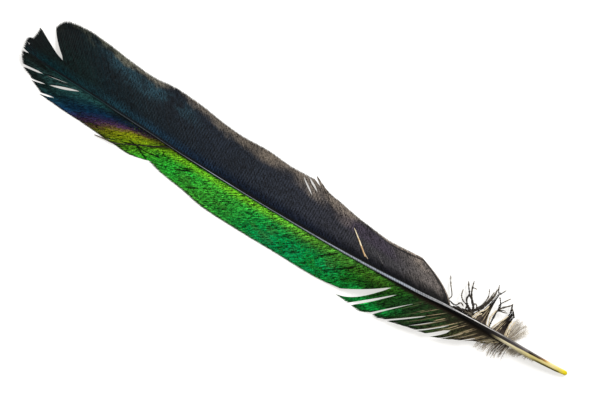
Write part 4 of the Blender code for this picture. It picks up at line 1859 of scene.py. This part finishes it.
    def foot(self, b: Bench, colour: Signal, at: VaneMarks, weave: Weave) -> Signal:
        """Lays the dark brown barbs, the painted shade beside the shaft and the straw-coloured lines at the
        vane's foot.

        Args:
            b: the material's bench.
            colour: the colour that they are laid over.
            at: the vane's marks.
            weave: the vane's weave.

        Returns:
            The new colour.
        """
        ragged = at.out + weave.streak.swing(7.0)
        brown_and_shade = at.root.steps(60, 34) * ragged.steps(7.5, 2.5)
        # Painted shade: the barbs beside the shaft are darkened as far as the shaft shades them.
        brown_and_shade = brown_and_shade.peak(at.root.steps(76, 50) * at.out.steps(3.6, 1.2))
        brown_and_shade = brown_and_shade.peak(at.root.band((24, 28), (28, 36))) * (0.2 + 0.8 * at.root.steps(24.5, 29))
        colour = b.mix(brown_and_shade * 0.94, colour, self.brown_and_shade)
        streaky = b.noise(at.root * 1.1, at.reach * 0.3, 13.0, detail=3.0)
        thin = b.mark("pale").steps(0.52, 0.56) * b.mark("tint").steps(0.5, 0.6)
        thin = thin * streaky.steps(0.36, 0.56)
        pale = thin * at.root.steps(56, 40) * at.out.band((1.6, 3.2), (5.5, 9.0))
        edged = b.mark("edge") * at.root.steps(50, 38) * at.share.band((0.25, 0.4), (0.6, 0.9))
        return b.mix(pale.peak(edged * 0.5) * 0.8, colour, self.straw)


@dataclass(frozen=True)
class InnerVaneFinish:
    """Dark slate barbs, paler at the foot, navy beside the shaft, with a tan rim."""

    along_vane: Stops = paints(
        (46, 104, 96, 91), (52, 100, 93, 89), (58, 82, 77, 75), (66, 58, 56, 58), (76, 53, 52, 55),
        (90, 41, 42, 49), (104, 35, 38, 46), (120, 31, 36, 44), (136, 26, 32, 41), (150, 22, 29, 36),
        (165, 19, 28, 33), (180, 12, 26, 31), (192, 9, 24, 23), (205, 11, 22, 19),
    )
    by_shaft: Stops = paints(
        (50, 26, 25, 24), (68, 14, 14, 18), (85, 17, 19, 26), (100, 17, 22, 34), (130, 14, 24, 38),
        (150, 16, 32, 49), (165, 21, 44, 59), (178, 19, 46, 56), (190, 11, 36, 41), (206, 3, 31, 35),
    )
    rim: Stops = paints(
        (84, 114, 104, 94), (100, 112, 102, 91), (118, 98, 89, 78), (146, 110, 102, 92), (160, 96, 93, 83),
        (178, 94, 94, 80), (190, 60, 62, 52),
    )
    sea: Colour = paint(34, 60, 70)
    mauve: Colour = paint(64, 54, 72)
    sand_and_highlight: Colour = paint(146, 132, 118)
    near_black: Colour = paint(16, 16, 18)
    roughness: float = 0.5
    gloss: float = 0.03
    line_period: float = 0.94

    def material(self) -> bpy.types.Material:
        """Makes the material.

        Returns:
            The material.
        """
        b = Bench("inner_vane_barbs")
        at = VaneMarks.read(b)
        weave = Weave.make(b, at, Side.INNER)
        cloud = b.noise(at.x * 0.1, at.y * 0.16, 2.0, detail=3.0)
        colour = b.ramp(at.root + cloud.swing(16.0), self.along_vane)
        beside = b.ramp(at.root, self.by_shaft)
        colour = b.mix((at.out + weave.streak.swing(2.5)).steps(4.6, 1.4), colour, beside)
        colour = self.patches(b, colour, at, weave, cloud)
        lines = (at.x * (2 * math.pi / self.line_period)).wave()
        lined = at.root.band((70, 84), (170, 195)) * at.share.steps(0.9, 0.6) * cloud.steps(0.34, 0.6)
        value = weave.value(1.1, 1.9, 2.6, 3.8) * 0.84 + lines * lined * 0.46 + cloud.swing(0.9)
        value = value + b.mark("tint").swing(0.3) + b.mark("tone").swing(0.08)
        colour = b.scale(colour, value.peak(0.1))
        foot_line = at.root.steps(72, 62) * at.left().band((1.4, 1.7), (2.1, 2.6))
        first_barbs = at.root.band((47.1, 47.4), (48.2, 48.7)) * at.share.band((0.05, 0.2), (0.9, 1.0))
        foot_line = foot_line.peak(first_barbs)
        dark_tip = at.root.steps(182, 192) * at.share.steps(0.4, 0.9) * 0.6
        tips = at.share.steps(0.975, 1.0) * (0.2 + 0.55 * at.root.steps(60, 76))
        # Painted shade along the slits and in the groove beside the shaft, with the barbs' own darker tips,
        # foot line and underside.
        dark = b.mark("shade").peak(tips).peak(foot_line * 0.85).peak(dark_tip)
        dark = dark.peak(at.out.steps(1.2, 0.6) * 0.85).peak(b.mark("under") * 0.6)
        colour = b.mix(dark, colour, self.near_black)
        roughness = self.roughness + weave.streak.swing(0.3)
        return b.finish(self.gloss, colour, roughness, b.bump(at.grain(b), 0.05, 0.5))

    def patches(self, b: Bench, colour: Signal, at: VaneMarks, weave: Weave, cloud: Signal) -> Signal:
        """Lays the purple and blue-teal tints, the sandy foot with its painted highlight, and the tan rim.

        Args:
            b: the material's bench.
            colour: the colour that they are laid over.
            at: the vane's marks.
            weave: the vane's weave.
            cloud: a wide, cloudy noise.

        Returns:
            The new colour.
        """
        purple = at.root.band((60, 68), (80, 90)) * at.share.band((0.4, 0.6), (0.8, 0.95))
        colour = b.mix(purple * 0.5, colour, self.mauve)
        teal = at.root.band((138, 152), (174, 184)) * at.share.band((0.5, 0.68), (0.84, 0.92))
        colour = b.mix(teal * cloud.steps(0.36, 0.56) * 0.7, colour, self.sea)
        start = 0.84 - 0.38 * at.root.steps(70, 86) + 0.2 * at.root.steps(84, 103)
        start = start + 0.19 * at.root.steps(106, 156)
        ragged = at.share + weave.streak.swing(0.1) + cloud.swing(0.55)
        width = 0.38 - 0.25 * at.root.steps(92, 150)
        tan = ((ragged - start) / width).steps(0.0, 1.0) * at.root.steps(198, 188) * at.root.steps(66, 76)
        colour = b.mix(tan * 0.88, colour, b.ramp(at.root, self.rim))
        # Painted highlight: a pale sandy patch on the foot's barbs; the strip beside it is their own pale
        # colour.
        sandy = at.root.steps(60, 50) * cloud.steps(0.42, 0.62) * at.share.steps(0.5, 0.8)
        strip = (at.root.steps(74, 62) * at.left().steps(1.6, 1.2)).peak(at.root.steps(47.3, 47.0))
        return b.mix((sandy * 0.5).peak(strip * 0.6), colour, self.sand_and_highlight)


@dataclass(frozen=True)
class ShaftFinish:
    """Keratin: yellow at the quill's tip, cream and olive, then nearly black with a painted highlight along
    its top.
    """

    quill: Stops = paints(
        (0, 176, 160, 10), (1.4, 204, 184, 24), (3.0, 190, 174, 84), (6, 196, 182, 126),
        (14, 182, 168, 108), (20, 200, 189, 148), (24, 212, 202, 168), (31, 160, 146, 104),
    )
    back: Stops = paints(
        (8.6, 160, 116, 50), (10.2, 96, 66, 32), (12.0, 50, 37, 22), (15.5, 26, 21, 16), (15.7, 84, 78, 78),
        (20, 62, 58, 58), (26, 42, 39, 38), (32, 24, 22, 21), (44, 12, 11, 11), (160, 12, 13, 14),
        (180, 16, 26, 28), (192, 24, 46, 48), (207, 20, 44, 45),
    )
    olive: Colour = paint(84, 76, 30)
    gloss: float = 0.02
    bead_period: float = 0.95
    highlight_silver: Stops = paints(
        (36, 196, 192, 188), (52, 184, 184, 186), (66, 172, 179, 190), (140, 176, 182, 196),
        (160, 150, 156, 166),
    )

    def material(self) -> bpy.types.Material:
        """Makes the material.

        Returns:
            The material.
        """
        b = Bench("shaft_keratin")
        along, around = b.mark("along"), b.mark("around")
        x, y = b.plan()
        grain = b.noise(x * 0.35, y * 5.0, 1.0, detail=3.0)
        beads = b.noise(x * 1.4, y * 1.4, 4.0)
        quill = b.ramp(along + grain.swing(3.0), self.quill)
        quill = b.mix(around.steps(0.22, 0.62) * along.band((2.2, 4.0), (11, 15)), quill, self.olive)
        back = b.ramp(along + grain.swing(0.5), self.back)
        reach = b.node("ShaderNodeMapRange", {}, (along, 9.0, 34.0, -0.3, 0.55))
        backed = (reach - around + grain.swing(0.4)).steps(-0.06, 0.12) * along.steps(7.0, 9.5)
        backed = backed.peak(along.steps(25.5, 31))
        colour = b.mix(backed, quill, back)
        twist = ((along + around * 0.6) * (2 * math.pi / self.bead_period)).wave()
        twist = twist * along.band((50, 58), (84, 100))
        # Painted highlight: the shaft's line of light, beaded and twisted, in a silver grey.
        highlight_silver = b.ramp(along, self.highlight_silver)
        colour = b.mix(b.mark("light") * (0.25 + beads * 1.05 + twist * 0.2), colour, highlight_silver)
        colour = b.scale(colour, 0.7 + grain * 0.6)
        return b.finish(self.gloss, colour, 0.4 + grain.swing(0.3), b.bump(grain, 0.05, 0.4))


@dataclass(frozen=True)
class DownFinish:
    """Matt, grey-brown threads, from near black to cream."""

    name: str
    dark: Colour
    light: Colour
    gloss: float = 0.2

    def material(self) -> bpy.types.Material:
        """Makes the material.

        Returns:
            The material.
        """
        b = Bench(self.name)
        pale, share = b.mark("pale"), b.mark("share")
        x, y = b.plan()
        cloud = b.noise(x * 0.9, y * 0.9, 1.0, detail=3.0)
        blend = pale + (share - 0.6) * 0.3 + cloud.swing(0.5)
        colour = b.scale(b.mix(blend, self.dark, self.light), 0.75 + cloud * 0.5)
        return b.finish(self.gloss, colour, 0.62 + cloud.swing(0.2), b.bump(cloud, 0.03, 0.3))


@dataclass(frozen=True)
class FlameFinish:
    """Brown torn barbs with cream edges that draw together in a nearly black point."""

    brown: Colour = paint(70, 58, 49)
    cream: Colour = paint(206, 188, 152)
    near_black: Colour = paint(22, 17, 14)
    gloss: float = 0.15

    def material(self) -> bpy.types.Material:
        """Makes the material.

        Returns:
            The material.
        """
        b = Bench("flame_brown")
        root, share, reach = (b.mark(n) for n in ("root", "share", "reach"))
        streak = b.noise(root * 2.6, reach * 0.3, 1.0, detail=3.0)
        darker = (share + streak.swing(2.2)).steps(-0.08, 0.42)
        colour = b.mix(darker, self.brown, self.near_black)
        creamy = b.mark("pale").steps(0.84, 0.88) * streak.steps(0.44, 0.56) * 0.8
        creamy = creamy.peak(b.mark("rim").steps(0.93, 0.98)) * share.steps(0.66, 0.4)
        colour = b.scale(b.mix(creamy, colour, self.cream), 0.6 + streak * 0.8)
        return b.finish(self.gloss, colour, 0.6 + streak.swing(0.2), b.bump(streak, 0.04, 0.4))


@dataclass(frozen=True)
class StrawFinish:
    """Ivory and tan, darker in streaks."""

    ivory: Colour = paint(214, 200, 168)
    tan: Colour = paint(170, 138, 96)
    grey: Colour = paint(100, 97, 96)
    gloss: float = 0.3

    def material(self) -> bpy.types.Material:
        """Makes the material.

        Returns:
            The material.
        """
        b = Bench("bare_straw")
        x, y = b.plan()
        cloud = b.noise(x * 0.6, y * 0.6, 1.0, detail=3.0)
        lighter = (cloud + b.mark("share").swing(0.6)).steps(0.35, 0.65)
        colour = b.mix(b.mark("faded"), b.mix(lighter, self.tan, self.ivory), self.grey)
        return b.finish(self.gloss, colour, 0.45 + cloud * 0.15, b.bump(cloud, 0.03, 0.3))


@dataclass(frozen=True)
class Lamp:
    """A large square lamp that faces the feather.

    Args:
        name: its name.
        place: where it hangs, in metres.
        size: its side.
        power: its power in watts.
    """

    name: str
    place: tuple[float, float, float]
    size: float
    power: float

    def build(self) -> None:
        """Makes the lamp."""
        light = bpy.data.lights.new(self.name, "AREA")
        light.shape = "SQUARE"
        light.size = self.size
        light.energy = self.power
        lamp = put_in_scene(self.name, light)
        lamp.location = self.place
        lamp.rotation_mode = "QUATERNION"
        lamp.rotation_quaternion = Vector(self.place).to_track_quat("Z", "Y")


@dataclass(frozen=True)
class Studio:
    """A white table, soft lamps and the camera straight above.

    Args:
        picture: the picture's width and height in pixels.
        scale: millimetres to a pixel.
        quill_pixel: where the quill's tip is in the picture.
        tip_pixel: where the feather's tip is.
        lens: the camera's focal length.
        sensor: width of its sensor.
        lamps: the lamps.
        sky: strength of the light from all round.
        table_reach: how far the table goes from the middle, in metres.
        table_white: how white the table is.
        table_glow: how much light of its own it gives.
    """

    picture: tuple[int, int] = (612, 408)
    scale: float = FEATHER_LENGTH / 632.7
    quill_pixel: tuple[float, float] = (567.5, 373.2)
    tip_pixel: tuple[float, float] = (23.0, 51.0)
    lens: float = 135.0
    sensor: float = 36.0
    lamps: tuple[Lamp, ...] = (
        Lamp("key_lamp", (-0.38, -1.4, 1.05), 0.9, 50.0), Lamp("fill_lamp", (0.9, 0.8, 1.2), 1.4, 5.0),
    )
    sky: float = 0.42
    table_reach: float = 3.0
    table_white: float = 0.47
    table_glow: float = 0.60

    def build(self) -> None:
        """Makes the table, the lamps and the camera."""
        self.table()
        self.world()
        for lamp in self.lamps:
            lamp.build()
        self.camera()
        bpy.context.scene.view_settings.view_transform = "Standard"
        bpy.context.scene.view_settings.look = "None"

    def table(self) -> None:
        """A wide, matt white table under the feather, with a glow of its own that lightens the shadows on
        it.
        """
        b = Bench("white_table")
        x, y = b.plan()
        cloud = b.noise(x * 0.02, y * 0.02)
        colour = b.mix(cloud, (self.table_white,) * 3, (self.table_white - 0.01,) * 3)
        # Painted light: the table glows a little so that the shadows on it stay pale.
        b.glow((1.0, 0.98, 0.94), self.table_glow)
        mesh = bpy.data.meshes.new("table")
        turns = ((-1, -1), (1, -1), (1, 1), (-1, 1))
        corners = [(x * self.table_reach, y * self.table_reach, 0.0) for x, y in turns]
        mesh.from_pydata(corners, [], [(0, 1, 2, 3)])
        mesh.materials.append(b.finish(0.0, colour, 0.9 + cloud * 0.05))
        put_in_scene("table", mesh)

    def world(self) -> None:
        """Even, weak light from all round."""
        world = bpy.data.worlds.new("studio")
        world.use_nodes = True
        background = world.node_tree.nodes["Background"]
        background.inputs["Color"].default_value = (1.0, 1.0, 1.0, 1.0)
        background.inputs["Strength"].default_value = self.sky
        bpy.context.scene.world = world

    def camera(self) -> None:
        """Looks straight down, turned so that the feather lies across the picture as it should."""
        quill = Vector(self.quill_pixel)
        along = (Vector(self.tip_pixel) - quill).normalized()
        low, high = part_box(NODE)
        middle = Vector(self.picture) / 2 - quill
        aside = Vector((-along.y, along.x))
        across = -middle.dot(aside)
        x = low.x + (middle.dot(along) * self.scale - QUILL_TIP_X) * MM
        y = high.y + (across * self.scale - WIDEST_Y) * MM
        width = self.picture[0] * self.scale * MM
        distance = width * self.lens / self.sensor
        right = Vector((along.x, -aside.x, 0.0))
        upward = Vector((-along.y, aside.y, 0.0))
        turn = Matrix((right, upward, (0.0, 0.0, 1.0))).transposed()
        eye = bpy.data.cameras.new("camera")
        eye.lens = self.lens
        eye.sensor_width = self.sensor
        eye.clip_start = 0.05
        camera = put_in_scene("camera", eye)
        camera.matrix_world = Matrix.Translation((x, y, distance)) @ turn.to_4x4()
        bpy.context.scene.camera = camera


VANE_PIECES = (
    VanePiece("outer_vane_foot", Slot.OUTER_VANE, OUTER_VANE, (0.0, 64.7), seed=3),
    VanePiece("outer_vane_middle", Slot.OUTER_VANE, OUTER_VANE, (64.7, 143.3), seed=4),
    VanePiece(
        "outer_vane_tip", Slot.OUTER_VANE, OUTER_VANE, (143.3, 206.0), partner=INNER_VANE, rings=60, seed=5,
    ),
    VanePiece("inner_vane_foot", Slot.INNER_VANE, INNER_VANE, (0.0, 89.0), seed=6),
    VanePiece("inner_vane_middle", Slot.INNER_VANE, INNER_VANE, (89.0, 150.0), seed=7),
    VanePiece("inner_vane_tip", Slot.INNER_VANE, INNER_VANE, (150.0, 206.0), partner=OUTER_VANE, seed=8),
)
FLAMES = VanePiece("foot_flames", Slot.DOWN, FOOT_FLAMES, (0.0, 40.0), seed=9)


def main() -> None:
    """Builds the feather piece by piece, then the studio."""
    logging.basicConfig(level=logging.INFO, format="%(name)s: %(message)s")
    green = OuterVaneFinish().material()
    slate = InnerVaneFinish().material()
    brown = DownFinish("broken_barb_brown", paint(30, 24, 18), paint(206, 190, 160)).material()
    grey = DownFinish("down_grey", paint(42, 33, 25), paint(170, 154, 130)).material()
    pale = DownFinish("down_pale", paint(120, 106, 88), paint(206, 198, 182)).material()
    for piece in VANE_PIECES:
        piece.build(green if piece.slot is Slot.OUTER_VANE else slate)
    Shaft().build(ShaftFinish().material())
    Straw().build(StrawFinish().material())
    BrokenBarbs().build(brown)
    FLAMES.build(FlameFinish().material())
    for tuft in TUFTS:
        tuft.build(grey if tuft.name == "outer_down" else pale)
    Studio().build()


if __name__ == "__main__":
    main()
